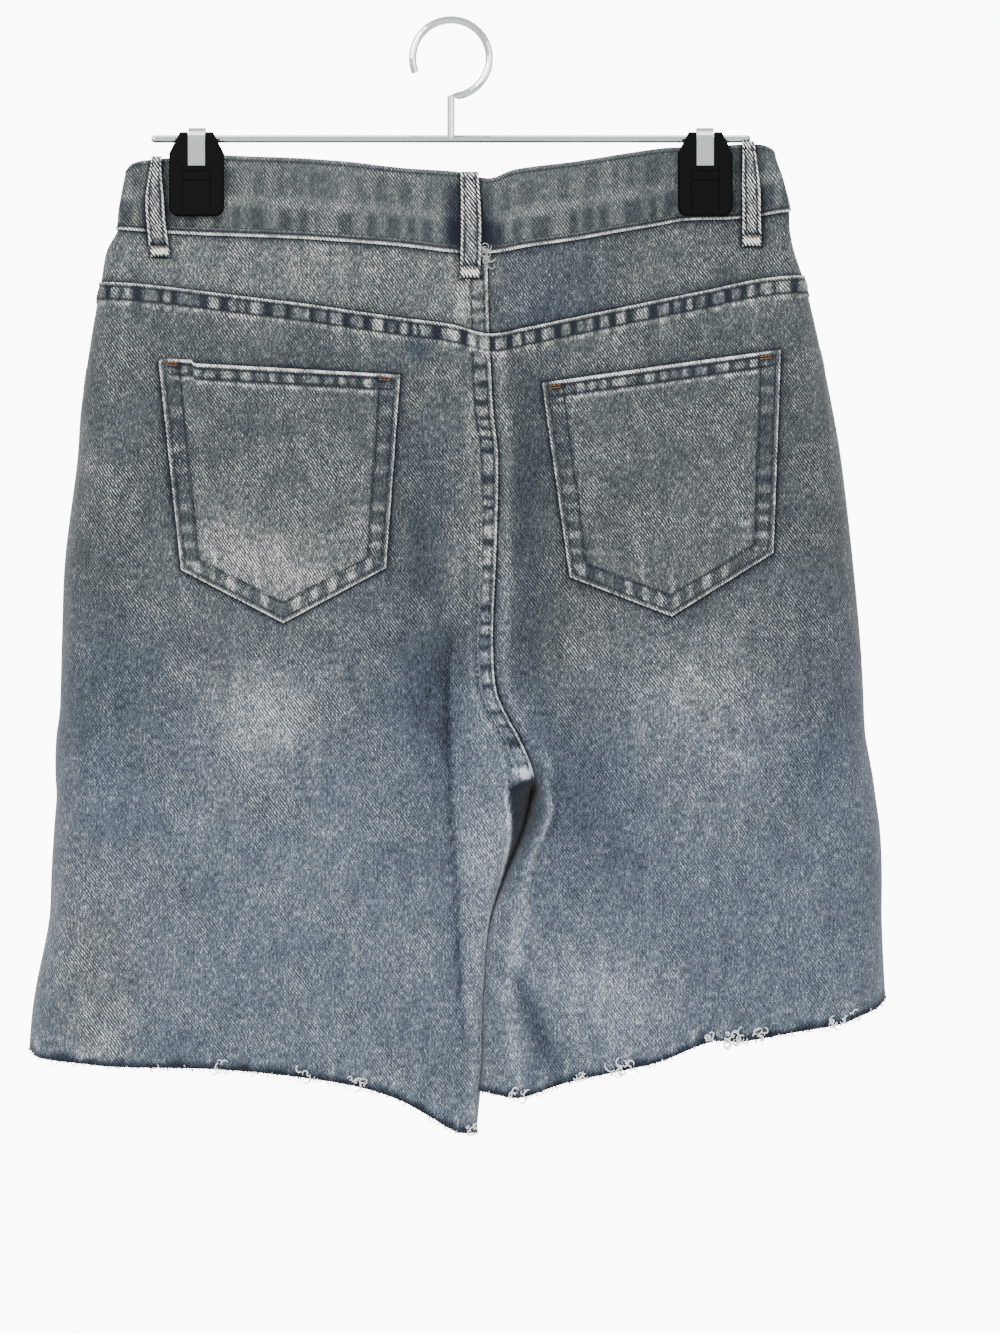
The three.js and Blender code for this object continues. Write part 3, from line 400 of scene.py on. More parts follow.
def cloth_piece(node, sheet, look=None, thickness=None, name=None):
    """A woven piece in place of a node: a grid whose points are the sheet's, walled inwards."""
    name = "denim_" + (name or node)
    rows, columns = sheet.points.shape[:2]
    shape = bmesh.new()
    bmesh.ops.create_grid(shape, x_segments=columns - 1, y_segments=rows - 1, size=1)
    mesh = bpy.data.meshes.new(name)
    shape.to_mesh(mesh)
    shape.free()
    flat = np.empty(len(mesh.vertices) * 3)
    mesh.vertices.foreach_get("co", flat)
    flat = flat.reshape(-1, 3)
    j = np.rint((flat[:, 0] + 1) / 2 * (columns - 1)).astype(int)
    i = np.rint((flat[:, 1] + 1) / 2 * (rows - 1)).astype(int)
    mesh.vertices.foreach_set("co", (sheet.points[i, j] * MM).ravel())
    mesh.update()
    middle = mesh.polygons[len(mesh.polygons) // 2]
    if Vector(sheet.out[i, j][middle.vertices[0]]).dot(middle.normal) < 0:
        mesh.flip_normals()
    for label, values in (("fade", sheet.fade), ("tone", sheet.tone)):
        held = mesh.attributes.new(label, "FLOAT", "POINT")
        held.data.foreach_set("value", values[i, j].astype(np.float32))
    corners = np.empty(len(mesh.loops), int)
    mesh.loops.foreach_get("vertex_index", corners)
    weave = np.stack([sheet.u[i, j], sheet.drop[i, j]], axis=-1)[corners] * MM
    mesh.uv_layers.new(name="weave").data.foreach_set("uv", weave.astype(np.float32).ravel())
    piece = link(name, mesh, look or denim("washed panels"))
    wall = piece.modifiers.new("Thickness", "SOLIDIFY")
    wall.thickness = (thickness or shop().thickness) * MM
    wall.offset = -1
    wall.use_even_offset = False
    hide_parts(node)
    area, width, length = sheet.flat_size()


def spans(*stops):
    """Places from the first stop on, each later stop given as (place, step)."""
    places = [float(stops[0])]
    for end, step in stops[1:]:
        count = max(1, round((end - places[-1]) / step))
        start = places[-1]
        places += [start + (end - start) * (k + 1) / count for k in range(count)]
    return np.array(places)


def ways(fine, coarse, inner_step=0.075):
    """Ways across a half, with close lines at the seams, and steps given in millimetres."""
    inner = spans(0, (1, inner_step))
    middle = 1 + spans(0, (0.03, fine / 150), (1, coarse / 150))[1:]
    side = 2 + spans(0, (1, coarse / 36))[1:]
    return np.concatenate([inner, middle, side])


def panel_drops(top, foot, step, band=14.0, band_step=0.7):
    """Drops of every row of a panel, column by column, close at its top edge and round the crotch."""
    under = spans(0, (band, band_step))
    turn = np.sin(spans(0, (1, 1 / 18))[1:] * math.pi / 2)
    seat = spans(0, (1, step / 205))[1:]
    leg = spans(0, (0.96, step / 150), (1, 1 / 190))[1:]
    rows = [top + u for u in under]
    rows += [top + band + (SEAT_TURN - top - band) * s for s in seat]
    rows += [np.full(top.shape, SEAT_TURN + (CROTCH - SEAT_TURN) * t) for t in turn]
    rows += [CROTCH + (foot - CROTCH) * t for t in leg]
    return np.array(rows), under


# Wear and sewing relief

def felled(across, along, seed, strength=1.0):
    """Rise in millimetres and fade of a felled seam, by distance in from its folded edge and along it."""
    phase = along / shop().pucker_pitch + 0.55 * wander(seed, along / 38)
    beat = 0.5 + 0.5 * np.cos(2 * math.pi * phase)
    block = ramp(0.02, 0.42, beat + 0.25 * wander(seed + 1, along / 10))
    inside = ramp(1.7, 2.3, across) * (1 - ramp(8.3, 8.9, across))
    on = 1 - ramp(FELL_WIDTH, FELL_WIDTH + 1.4, across)
    roll = 0.45 * (1 - ramp(0, 2.2, across)) - 0.35 * (1 - ramp(0, 0.5, across))
    grooves = bell(across, 2.2, 0.45) + bell(across, 8.7, 0.5)
    rise = on * (FOLD_RISE + roll + 0.5 * (block - 0.5) * inside - 0.25 * grooves)
    edge = 1 - ramp(0.9, 1.5, across)
    uneven = 0.35 * wander(seed + 2, along / 11)
    fade = edge * (0.8 + 0.6 * uneven)
    fade = fade + inside * (-1.15 + (1.4 + uneven) * block)
    fade = fade - 0.75 * grooves
    fade = fade + 0.5 * (0.2 + 0.8 * block) * bell(across, 10.6, 1.2)
    return rise * strength, fade * strength


def patches(sheet, table):
    """Adds soft washed patches: place, reach across and down, and change of fade and tone."""
    for x, drop, reach, fall, fade, tone in table:
        near = np.exp(-(((sheet.x - x) / reach) ** 2) - ((sheet.drop - drop) / fall) ** 2)
        sheet.fade += fade * near
        sheet.tone += tone * near


WASHES = {
    (BACK, LEFT): [
        # x, drop, reach across, reach down, fade, tone
        (-94, 219, 47, 25, 0.38, 0.0),
        (-97, 299, 46, 48, 0.36, -0.45),
        (-94, 286, 28, 24, 0.1, 0.0),
        (-172, 265, 20, 40, -0.08, 0.1),
        (-11, 190, 13, 50, -0.05, 0.45),
        (-8, 300, 14, 40, -0.12, 0.3),
        (-6, 180, 16, 60, 0.12, 0.0),
        (0, 228, 6, 16, 0.3, 0.0),
        (-12, 252, 5, 14, 0.3, 0.0),
        (-16, 108, 6, 7, -0.45, 0.9),
        (-185, 440, 26, 70, 0.05, -0.6),
        (-60, 400, 30, 50, 0.05, 0.1),
    ],
    (BACK, RIGHT): [
        (132, 294, 47, 44, 0.33, -0.45),
        (124, 286, 28, 22, 0.1, 0.0),
        (60, 255, 28, 45, 0.05, -0.4),
        (110, 370, 60, 50, 0.06, 0.0),
        (88, 218, 24, 12, 0.06, 0.0),
        (77, 442, 34, 28, 0.3, 0.1),
        (64, 343, 28, 38, -0.27, 0.3),
        (40, 200, 12, 70, -0.22, 0.3),
        (28, 190, 4, 45, 0.12, -0.1),
        (130, 400, 80, 40, -0.12, 0.1),
        (36, 420, 8, 34, 0.1, 0.1),
        (190, 300, 18, 50, -0.1, 0.0),
        (190, 170, 22, 50, -0.06, 0.0),
    ],
    (FRONT, LEFT): [
        (-100, 210, 40, 80, 0.35, 0.0),
        (-60, 380, 30, 60, 0.12, 0.0),
        (-170, 300, 20, 60, -0.2, 0.0),
    ],
    (FRONT, RIGHT): [
        (110, 210, 40, 80, 0.35, 0.0),
        (90, 380, 30, 60, 0.12, 0.0),
        (180, 300, 20, 60, -0.2, 0.0),
    ],
}
HEM_TUFTS = [
    # x, how many threads, longest thread
    (35, 7, 8),
    (66, 6, 6),
    (89, 11, 9),
    (134, 6, 6),
    (143, 8, 8),
    (149, 8, 8),
    (158, 8, 8),
    (197, 8, 7),
    (205, 4, 5),
    (-118, 4, 8),
    (-74, 4, 7),
    (-48, 7, 9),
    (11, 6, 7),
]


def to_pocket(x, drop, corners):
    """Distance out from a seat pocket's edge, negative inside it."""
    top_outer, top_inner, foot_inner, foot_outer, tip = corners
    tip_x = (foot_inner[0] + foot_outer[0]) / 2
    ring = [top_outer, top_inner, foot_inner, (tip_x, tip), foot_outer]
    away = np.full(np.shape(x), np.inf)
    inside = np.zeros(np.shape(x), bool)
    for (ax, ad), (bx, bd) in zip(ring, ring[1:] + ring[:1]):
        squared = (bx - ax) ** 2 + (bd - ad) ** 2
        t = np.clip(((x - ax) * (bx - ax) + (drop - ad) * (bd - ad)) / squared, 0, 1)
        away = np.minimum(away, np.hypot(x - ax - t * (bx - ax), drop - ad - t * (bd - ad)))
        crosses = (ad > drop) != (bd > drop)
        inside ^= crosses & (x < ax + (drop - ad) * (bx - ax) / (bd - ad + 1e-9))
    return np.where(inside, -away, away)


def wash_and_fold_shade(sheet, face, half):
    """What all panels share: greyer above, bluer below, folds lighter on their ridges and darker in their
    dips, partly from wear and partly painted light and shade, and soft patches of fading.
    """
    sheet.tone += ramp(190, 330, sheet.drop)
    sheet.fade += 0.26 * ramp(270, 400, sheet.drop) - 0.27
    sheet.fade += 0.06 * wander(5 + half + face, sheet.x / 70, sheet.drop / 90)
    for fold in FOLDS:
        if fold[0] == face:
            sheet.fade += fold[9] * fold_share(fold, sheet.x, sheet.drop)
    patches(sheet, WASHES[face, half])


def raw_edge(sheet, foot):
    """A darker, bluer band along a cut hem, with pale runs of pulled threads."""
    up = foot - sheet.drop
    band = np.exp(-((np.maximum(up, 0) / (2.9 + 1.3 * wander(31, sheet.x / 16))) ** 2))
    runs = ramp(0.35, 0.9, wander(32, sheet.x / 7)) * (1 - ramp(4, 16, up))
    sheet.fade += 0.4 * runs - 1.25 * band
    sheet.tone += 0.6 * band


# Sewing threads

def sew(name, lines, kind="dark", pitch=None, length=2.5, radius=0.26, across=False):
    """Stitches along lines of (points, outward directions), all in one mesh."""
    pitch = pitch or shop().stitch_pitch
    thread = bmesh.new()
    for points, out in lines:
        steps = np.linalg.norm(np.diff(points, axis=0), axis=1)
        run = np.concatenate([[0], np.cumsum(steps)])
        for k in range(int(run[-1] / pitch)):
            at = (k + 0.5) * pitch
            here = Vector([np.interp(at, run, points[:, c]) for c in range(3)])
            ahead = Vector([np.interp(at + 0.4, run, points[:, c]) for c in range(3)])
            behind = Vector([np.interp(at - 0.4, run, points[:, c]) for c in range(3)])
            normal = Vector([np.interp(at, run, out[:, c]) for c in range(3)]).normalized()
            along = (ahead - behind).normalized()
            side = along.cross(normal).normalized()
            if across:
                along, side = side, along
            spot = Matrix.Translation((here + normal * radius * 0.25) * MM)
            turn = Matrix((side * radius, normal * radius, along * length / 2)).transposed()
            place = spot @ (turn * MM).to_4x4()
            bmesh.ops.create_uvsphere(thread, u_segments=6, v_segments=4, radius=1, matrix=place)
    bmesh.ops.recalc_face_normals(thread, faces=thread.faces)
    mesh = bpy.data.meshes.new(name)
    thread.to_mesh(mesh)
    thread.free()
    link(name, mesh, thread_look(kind))


def strands(name, paths, kind, radius):
    """Loose threads, each along its own few points, made from one bevelled curve."""
    curve = bpy.data.curves.new(name, "CURVE")
    curve.dimensions = "3D"
    curve.bevel_depth = radius * MM
    curve.bevel_resolution = 0
    curve.use_fill_caps = True
    for path in paths:
        spline = curve.splines.new("POLY")
        spline.points.add(len(path) - 1)
        for point, (x, y, z) in zip(spline.points, path):
            point.co = (x * MM, y * MM, z * MM, 1)
            point.radius = 1
        spline.points[-1].radius = 0.4
    made = bpy.data.objects.new(name + "_curve", curve)
    mesh = bpy.data.meshes.new_from_object(made)
    mesh.name = name
    bpy.data.objects.remove(made)
    mesh.materials.clear()
    link(name, mesh, thread_look(kind))


def row_line(sheet, row, first, last, count=240):
    return sheet.at(np.full(count, float(row)), np.linspace(first, last, count))


def column_line(sheet, column, first, last, count=240):
    return sheet.at(np.linspace(first, last, count), np.full(count, float(column)))


def index_at(places, value):
    return float(np.interp(value, places, np.arange(len(places))))


# Materials

def add_node(tree, kind, inputs=None, **settings):
    node = tree.nodes.new(kind)
    for key, value in settings.items():
        setattr(node, key, value)
    for key, value in (inputs or {}).items():
        if isinstance(value, bpy.types.NodeSocket):
            tree.links.new(value, node.inputs[key])
        else:
            node.inputs[key].default_value = value
    return node


def sums(tree, operation, *values):
    node = add_node(tree, "ShaderNodeMath", operation=operation)
    for i, value in enumerate(values):
        if isinstance(value, bpy.types.NodeSocket):
            tree.links.new(value, node.inputs[i])
        else:
            node.inputs[i].default_value = value
    return node.outputs[0]


def colour_ramp(tree, factor, stops):
    node = add_node(tree, "ShaderNodeValToRGB", {"Fac": factor})
    while len(node.color_ramp.elements) < len(stops):
        node.color_ramp.elements.new(0.5)
    for element, (place, colour) in zip(node.color_ramp.elements, stops):
        element.position = place
        element.color = (*colour, 1)
    return node.outputs["Color"]


def group(name, inputs, outputs):
    """A new shader node group with named sockets, or the one made before."""
    tree = bpy.data.node_groups.get(name)
    if tree:
        return tree, None, None
    tree = bpy.data.node_groups.new(name, "ShaderNodeTree")
    for label, kind, value in inputs:
        socket = tree.interface.new_socket(label, in_out="INPUT", socket_type=kind)
        if value is not None:
            socket.default_value = value
    for label, kind in outputs:
        tree.interface.new_socket(label, in_out="OUTPUT", socket_type=kind)
    return tree, tree.nodes.new("NodeGroupInput"), tree.nodes.new("NodeGroupOutput")


def cotton_fleck():
    """Uneven cotton: streaks along the warp, small specks, and soft clouds of fading."""
    tree, given, made = group(
        "Cotton fleck",
        [("Vector", "NodeSocketVector", None)],
        [("Streaks", "NodeSocketFloat"), ("Specks", "NodeSocketFloat"), ("Clouds", "NodeSocketFloat")],
    )
    if given is None:
        return tree
    vector = given.outputs["Vector"]
    for label, size, stretch, detail in (
        ("Streaks", 1000, (1, 0.34, 1), 3),
        ("Specks", 1900, (1, 0.8, 1), 2),
        ("Clouds", 150, (1, 0.42, 1), 6),
    ):
        mapped = add_node(tree, "ShaderNodeMapping", {"Vector": vector, "Scale": stretch})
        noise = add_node(tree, "ShaderNodeTexNoise", {"Vector": mapped.outputs[0], "Scale": size,
                                                      "Detail": detail, "Roughness": 0.62})
        tree.links.new(noise.outputs["Fac"], made.inputs[label])
    return tree


def twill():
    """Diagonal twill lines over a piece's weave map, from upper left to lower right seen from outside."""
    tree, given, made = group(
        "Twill weave",
        [("Vector", "NodeSocketVector", None), ("Pitch", "NodeSocketFloat", 0.00115)],
        [("Lines", "NodeSocketFloat")],
    )
    if given is None:
        return tree
    parts = add_node(tree, "ShaderNodeSeparateXYZ", {"Vector": given.outputs["Vector"]})
    u = sums(tree, "MULTIPLY", parts.outputs["X"], 0.80)
    v = sums(tree, "MULTIPLY", parts.outputs["Y"], -0.60)
    wobble = add_node(tree, "ShaderNodeTexNoise", {"Vector": given.outputs["Vector"], "Scale": 260.0,
                                                   "Detail": 1.0})
    bend = sums(tree, "MULTIPLY", sums(tree, "SUBTRACT", wobble.outputs["Fac"], 0.5), 0.0012)
    place = sums(tree, "ADD", sums(tree, "ADD", u, v), bend)
    phase = sums(tree, "MULTIPLY", sums(tree, "DIVIDE", place, given.outputs["Pitch"]), 2 * math.pi)
    wave = sums(tree, "MULTIPLY_ADD", sums(tree, "SINE", phase), 0.5, 0.5)
    tree.links.new(wave, made.inputs["Lines"])
    return tree


def denim_colour():
    """Denim by how much dye it has lost, with painted shade and highlights taken in: navy in the hollows and
    painted shade, washed blue or grey, and bare cotton on the folds and painted highlights.
    """
    tree, given, made = group(
        "Faded denim",
        [
            ("Vector", "NodeSocketVector", None),
            ("Fade", "NodeSocketFloat", 0.0),
            ("Tone", "NodeSocketFloat", 0.0),
            ("Contrast", "NodeSocketFloat", 1.0),
            ("Weave", "NodeSocketFloat", 0.2),
            ("Pitch", "NodeSocketFloat", 0.00115),
        ],
        [("Color", "NodeSocketColor"), ("Height", "NodeSocketFloat")],
    )
    if given is None:
        return tree
    vector = given.outputs["Vector"]
    fleck = add_node(tree, "ShaderNodeGroup", node_tree=cotton_fleck())
    tree.links.new(vector, fleck.inputs["Vector"])
    lines = add_node(tree, "ShaderNodeGroup", node_tree=twill())
    tree.links.new(vector, lines.inputs["Vector"])
    tree.links.new(given.outputs["Pitch"], lines.inputs["Pitch"])

    def about(value, amount):
        return sums(tree, "MULTIPLY", sums(tree, "SUBTRACT", value, 0.5), amount)

    hue = add_node(tree, "ShaderNodeTexNoise", {"Vector": vector, "Scale": 24.0, "Detail": 3.0})
    drift = sums(tree, "ADD", given.outputs["Tone"], about(hue.outputs["Fac"], 0.9))
    drift = add_node(tree, "ShaderNodeClamp", {"Value": drift})
    shown = add_node(tree, "ShaderNodeTexNoise", {"Vector": vector, "Scale": 38.0, "Detail": 2.0})
    window = add_node(tree, "ShaderNodeMapRange", {"Value": shown.outputs["Fac"], 1: 0.4, 2: 0.6})
    ribs = sums(tree, "MULTIPLY", about(lines.outputs["Lines"], 1.0), given.outputs["Weave"])
    ribs = sums(tree, "MULTIPLY", ribs, sums(tree, "ADD", window.outputs[0], 0.35))
    ribs = sums(tree, "MULTIPLY", ribs, sums(tree, "MULTIPLY_ADD", drift.outputs[0], -0.45, 1.0))
    mottle = sums(tree, "ADD", about(fleck.outputs["Streaks"], 2.6), about(fleck.outputs["Specks"], 2.6))
    mottle = sums(tree, "ADD", mottle, about(fleck.outputs["Clouds"], 1.0))
    mottle = sums(tree, "ADD", mottle, ribs)
    mottle = sums(tree, "MULTIPLY", mottle, given.outputs["Contrast"])
    fade_shade_and_mottle = sums(tree, "ADD", given.outputs["Fade"], mottle)
    factor = sums(tree, "MULTIPLY_ADD", fade_shade_and_mottle, 0.5, 0.5)
    wear = shop()
    palettes = []
    for middle, light in ((wear.grey, wear.cotton), (wear.blue, wear.pale)):
        dark = wear.navy
        low = [0.5 * m + 0.5 * d for m, d in zip(middle, dark)]
        high = [0.83 * m + 0.17 * c for m, c in zip(middle, light)]
        stops = [(0.0, dark), (0.29, low), (0.5, tuple(middle)), (0.72, high), (1.0, light)]
        palettes.append(colour_ramp(tree, factor, stops))
    blend = add_node(tree, "ShaderNodeMix", {"Factor": drift.outputs[0], 6: palettes[0], 7: palettes[1]},
                     data_type="RGBA")
    tree.links.new(blend.outputs[2], made.inputs["Color"])
    height = sums(tree, "ADD", sums(tree, "MULTIPLY", lines.outputs["Lines"], 0.5), fleck.outputs["Streaks"])
    tree.links.new(height, made.inputs["Height"])
    return tree


def new_look(name):
    look = bpy.data.materials.new(name)
    look.use_nodes = True
    tree = look.node_tree
    tree.nodes.clear()
    shader = tree.nodes.new("ShaderNodeBsdfPrincipled")
    out = tree.nodes.new("ShaderNodeOutputMaterial")
    tree.links.new(shader.outputs[0], out.inputs["Surface"])
    return look, tree, shader


def denim(name, fade=0.0, tone=0.0, contrast=1.0, weave=0.8, pitch=0.00135):
    """Washed denim that follows a piece's weave map, its loss of dye with its painted shade and highlights,
    and its tone.
    """
    look = bpy.data.materials.get(name)
    if look:
        return look
    look, tree, shader = new_look(name)
    place = add_node(tree, "ShaderNodeUVMap", uv_map="weave")
    fade_shade_node = add_node(tree, "ShaderNodeAttribute", attribute_name="fade")
    toned = add_node(tree, "ShaderNodeAttribute", attribute_name="tone")
    cloth_node = add_node(tree, "ShaderNodeGroup", node_tree=denim_colour())
    tree.links.new(place.outputs["UV"], cloth_node.inputs["Vector"])
    tree.links.new(sums(tree, "ADD", fade_shade_node.outputs["Fac"], fade), cloth_node.inputs["Fade"])
    tree.links.new(sums(tree, "ADD", toned.outputs["Fac"], tone), cloth_node.inputs["Tone"])
    cloth_node.inputs["Contrast"].default_value = contrast
    cloth_node.inputs["Weave"].default_value = weave
    cloth_node.inputs["Pitch"].default_value = pitch
    tree.links.new(cloth_node.outputs["Color"], shader.inputs["Base Color"])
    bump = add_node(tree, "ShaderNodeBump", {"Height": cloth_node.outputs["Height"], "Strength": 0.55,
                                             "Distance": 0.00035})
    tree.links.new(bump.outputs[0], shader.inputs["Normal"])
    shader.inputs["Roughness"].default_value = 0.92
    shader.inputs["Specular IOR Level"].default_value = 0.2
    shader.inputs["Sheen Weight"].default_value = 0.12
    shader.inputs["Sheen Roughness"].default_value = 0.5
    return look


def plain(name, colour, roughness, metal=0.0, grain=0.12, size=900.0, lift=0.0001, strength=0.3,
          shine=0.4):
    """A plain finish with a little uneven grain in its colour, gloss and height."""
    look = bpy.data.materials.get(name)
    if look:
        return look
    look, tree, shader = new_look(name)
    place = add_node(tree, "ShaderNodeTexCoord")
    noise = add_node(tree, "ShaderNodeTexNoise", {"Vector": place.outputs["Object"], "Scale": size,
                                                  "Detail": 3.0})
    dark = tuple(c * (1 - grain) for c in colour)
    light = tuple(min(1.0, c * (1 + grain)) for c in colour)
    shade = colour_ramp(tree, noise.outputs["Fac"], [(0.3, dark), (0.7, light)])
    tree.links.new(shade, shader.inputs["Base Color"])
    gloss = add_node(tree, "ShaderNodeMapRange", {"Value": noise.outputs["Fac"], 3: roughness * 0.85,
                                                  4: min(1.0, roughness * 1.15)})
    tree.links.new(gloss.outputs[0], shader.inputs["Roughness"])
    bump = add_node(tree, "ShaderNodeBump", {"Height": noise.outputs["Fac"], "Strength": strength,
                                             "Distance": lift})
    tree.links.new(bump.outputs[0], shader.inputs["Normal"])
    shader.inputs["Metallic"].default_value = metal
    shader.inputs["Specular IOR Level"].default_value = shine
    return look


def thread_look(kind):
    colours = {
        "dark": (0.014, 0.017, 0.02),
        "rust": (0.20, 0.085, 0.022),
        "white": (1.0, 1.0, 0.99),
        "grey": (0.42, 0.43, 0.42),
        "indigo": (0.02, 0.03, 0.055),
    }
    return plain("thread_" + kind, colours[kind], 0.85, grain=0.35, size=1500.0)


def shop():
    return bpy.context.scene.shorts_cloth


class ShortsCloth(bpy.types.PropertyGroup):
    """Sizes in millimetres and colours of the cloth and its sewing."""

    thickness: FloatProperty(name="Thickness", description="One layer of denim, in millimetres",
                             default=1.2, min=0.6, max=2.0)
    fine_step: FloatProperty(name="Fine step", description="Grid step of the seat panels, in millimetres",
                             default=1.8, min=1.0, max=6.0)
    coarse_step: FloatProperty(name="Coarse step", description="Grid step of the front, in millimetres",
                               default=2.6, min=1.5, max=8.0)
    pucker_pitch: FloatProperty(name="Pucker pitch", description="Gap between seam puckers, in millimetres",
                                default=8.2, min=4.0, max=14.0)
    stitch_pitch: FloatProperty(name="Stitch pitch", description="Length of one stitch, in millimetres",
                                default=3.1, min=2.0, max=5.0)
    navy: FloatVectorProperty(name="Navy", description="Unfaded indigo", subtype="COLOR", size=3,
                              default=(0.0062, 0.009, 0.0155), min=0, max=1)
    grey: FloatVectorProperty(name="Grey wash", description="Washed denim above", subtype="COLOR", size=3,
                              default=(0.067, 0.078, 0.0795), min=0, max=1)
    blue: FloatVectorProperty(name="Blue wash", description="Washed leg denim", subtype="COLOR", size=3,
                              default=(0.066, 0.0838, 0.111), min=0, max=1)
    pale: FloatVectorProperty(name="Pale blue", description="Worn folds of the blue legs", subtype="COLOR",
                              size=3, default=(0.62, 0.68, 0.74), min=0, max=1)
    cotton: FloatVectorProperty(name="Bare cotton", description="Worn folds and loose threads",
                                subtype="COLOR", size=3, default=(0.9, 0.9, 0.86), min=0, max=1)


class ShortsFray(bpy.types.PropertyGroup):
    """The cut hems."""

    spacing: FloatProperty(name="Spacing", description="Distance between loose threads, in millimetres",
                           default=0.9, min=0.5, max=4.0)
    longest: FloatProperty(name="Longest", description="Longest short thread, in millimetres",
                           default=3.2, min=0.5, max=8.0)
    seed: IntProperty(name="Seed", description="Seed of the threads' places", default=11)


class ShortsStage(bpy.types.PropertyGroup):
    """Camera and light."""

    distance: FloatProperty(name="Camera distance", description="From the camera to the bar",
                            default=3.2, unit="LENGTH")
    view_width: FloatProperty(name="View width", description="Width of the picture at the garment",
                              default=0.52, unit="LENGTH")
    key: FloatProperty(name="Key light", description="Power of the main light", default=53.0, unit="POWER")
    sky: FloatProperty(name="Sky", description="Strength of the light all round", default=1.2)


# Panels

def back_panel(name, half):
    across = ways(0.5, shop().fine_step)
    top = meet(BACK, half, across, yoke_foot)
    foot = meet(BACK, half, across, lambda x: hem(BACK, half, x))
    drops, under = panel_drops(top, foot, shop().fine_step)
    sheet = Sheet(cloth(BACK, half, across[None, :], drops), BACK)
    down = drops - top
    rise, fade = felled(down, sheet.x, 3 + half)
    sheet.tone -= 0.3 * (1 - ramp(8, 14, down))
    if half == LEFT:
        inward = sheet.from_seam(across)
        kept = (1 - ramp(CROTCH - 7, CROTCH - 1, drops)) * (inward < 14)
        crest = OVERLAP.at(drops, "crest")
        crease = OVERLAP.at(drops, "crease")
        window = ramp(331, 333.5, drops - 0.45 * (40 - sheet.x)) * (1 - ramp(366, 400, drops))
        hollow_shade = ramp(0, 1.6, sheet.x - crest) * window
        along = ramp(252, 275, drops) * (1 - ramp(440, 475, drops))
        band = ramp(0.6, 4, sheet.x - crease) * ramp(10, 13, np.where(drops < CROTCH, inward, 99))
        # Painted shade along the pressed crease, and a painted lighter strip to its right, where the cloth
        # turns to the light.
        fade = fade - 0.55 * bell(sheet.x, crease, 1.1) * along
        fade = fade + (0.13 + 0.1 * along) * band * ramp(262, 300, drops)
        # Painted shade in the dip between the left leg's crest and the slit, and a painted highlight along
        # the crest.
        fade = fade - 1.25 * hollow_shade + 0.55 * bell(sheet.x, crest - 0.9, 1.1) * ramp(334, 340, drops)
        rise = rise - 4 * ramp(0, 3.5, sheet.x - crest) * window
        narrow = 1.08 - 0.33 * ramp(120, 230, drops)
        seam_rise, seam_fade = felled(inward / narrow, drops, 9)
        seam_rise = seam_rise * kept
        seam_fade = seam_fade * kept * 0.72 + 0.12 * (inward < 9 * narrow) * kept
        light_side = bell(inward, 14, 2.2) * ramp(125, 150, drops) * (1 - ramp(165, 180, drops))
        end = bell(inward, 3.5, 4) * bell(drops, 327.5, 3.5)
        fade = fade + 1.6 * end + 0.15 * ramp(180, 220, drops) * (inward < 9 * narrow) * kept
        fade = fade + 0.3 * light_side + 0.25 * bell(inward, 12, 1.5) * ramp(180, 230, drops) * kept
        rise = np.maximum(rise, seam_rise)
        crossing = ramp(10, 13, down)
        fade = fade * (1 - 0.5 * (inward < 10) * (1 - crossing)) + seam_fade * crossing
        fade = fade + 0.5 * (inward < 11) * (down < 10.5)
    else:
        beside = sheet.from_seam(across)
        rim = OVERLAP.at(drops, "rim")
        window = ramp(328, 334, drops) * (1 - ramp(372, 400, drops))
        # Painted highlight along the right leg's rim, painted shade just beyond it, and painted shade over
        # the flap between the slit and the rim.
        fade = fade + window * (0.2 * bell(sheet.x, rim - 1.6, 1.4) - 0.35 * bell(sheet.x, rim + 1.6, 2.2))
        fade = fade - 0.25 * window * (1 - ramp(-8, -3, sheet.x - rim))
        shadow = (1 - ramp(SEAT_TURN, CROTCH, drops)) * ramp(9, 12, down)
        fade = fade + shadow * (0.28 * bell(beside, 6, 3) - 1.2 * bell(beside, 0, 1.1))
    wash_and_fold_shade(sheet, BACK, half)
    pocket = POCKETS["left" if half == LEFT else "right"]
    away = to_pocket(sheet.x, sheet.drop, pocket)
    outside = np.maximum(away, 0)
    # Painted shadow round the outside of the seat pocket's edge.
    sheet.fade -= 1.3 * np.exp(-outside / 0.9) + 0.15 * np.exp(-outside / 6)
    puckers = ramp(0.1, 0.9, wander(41 + half, sheet.x / 11, sheet.drop / 60)) * (1 - ramp(14, 30, down))
    sheet.fade += fade + 0.16 * puckers
    raw_edge(sheet, foot)
    sheet.lift(rise)
    cloth_piece(name, sheet)
    first = 14 if half == LEFT else 0
    lines = [row_line(sheet, index_at(under, mm), first, len(across) - 1) for mm in (2.4, 8.7)]
    if half == LEFT:
        last = int(np.argmax(drops[:, 0] > SEAT_TURN + 20))
        lines += [column_line(sheet, index_at(across, w), index_at(under, 11), last) for w in SEAM_ROWS]
    sew("stitches_" + name, lines)
    return sheet


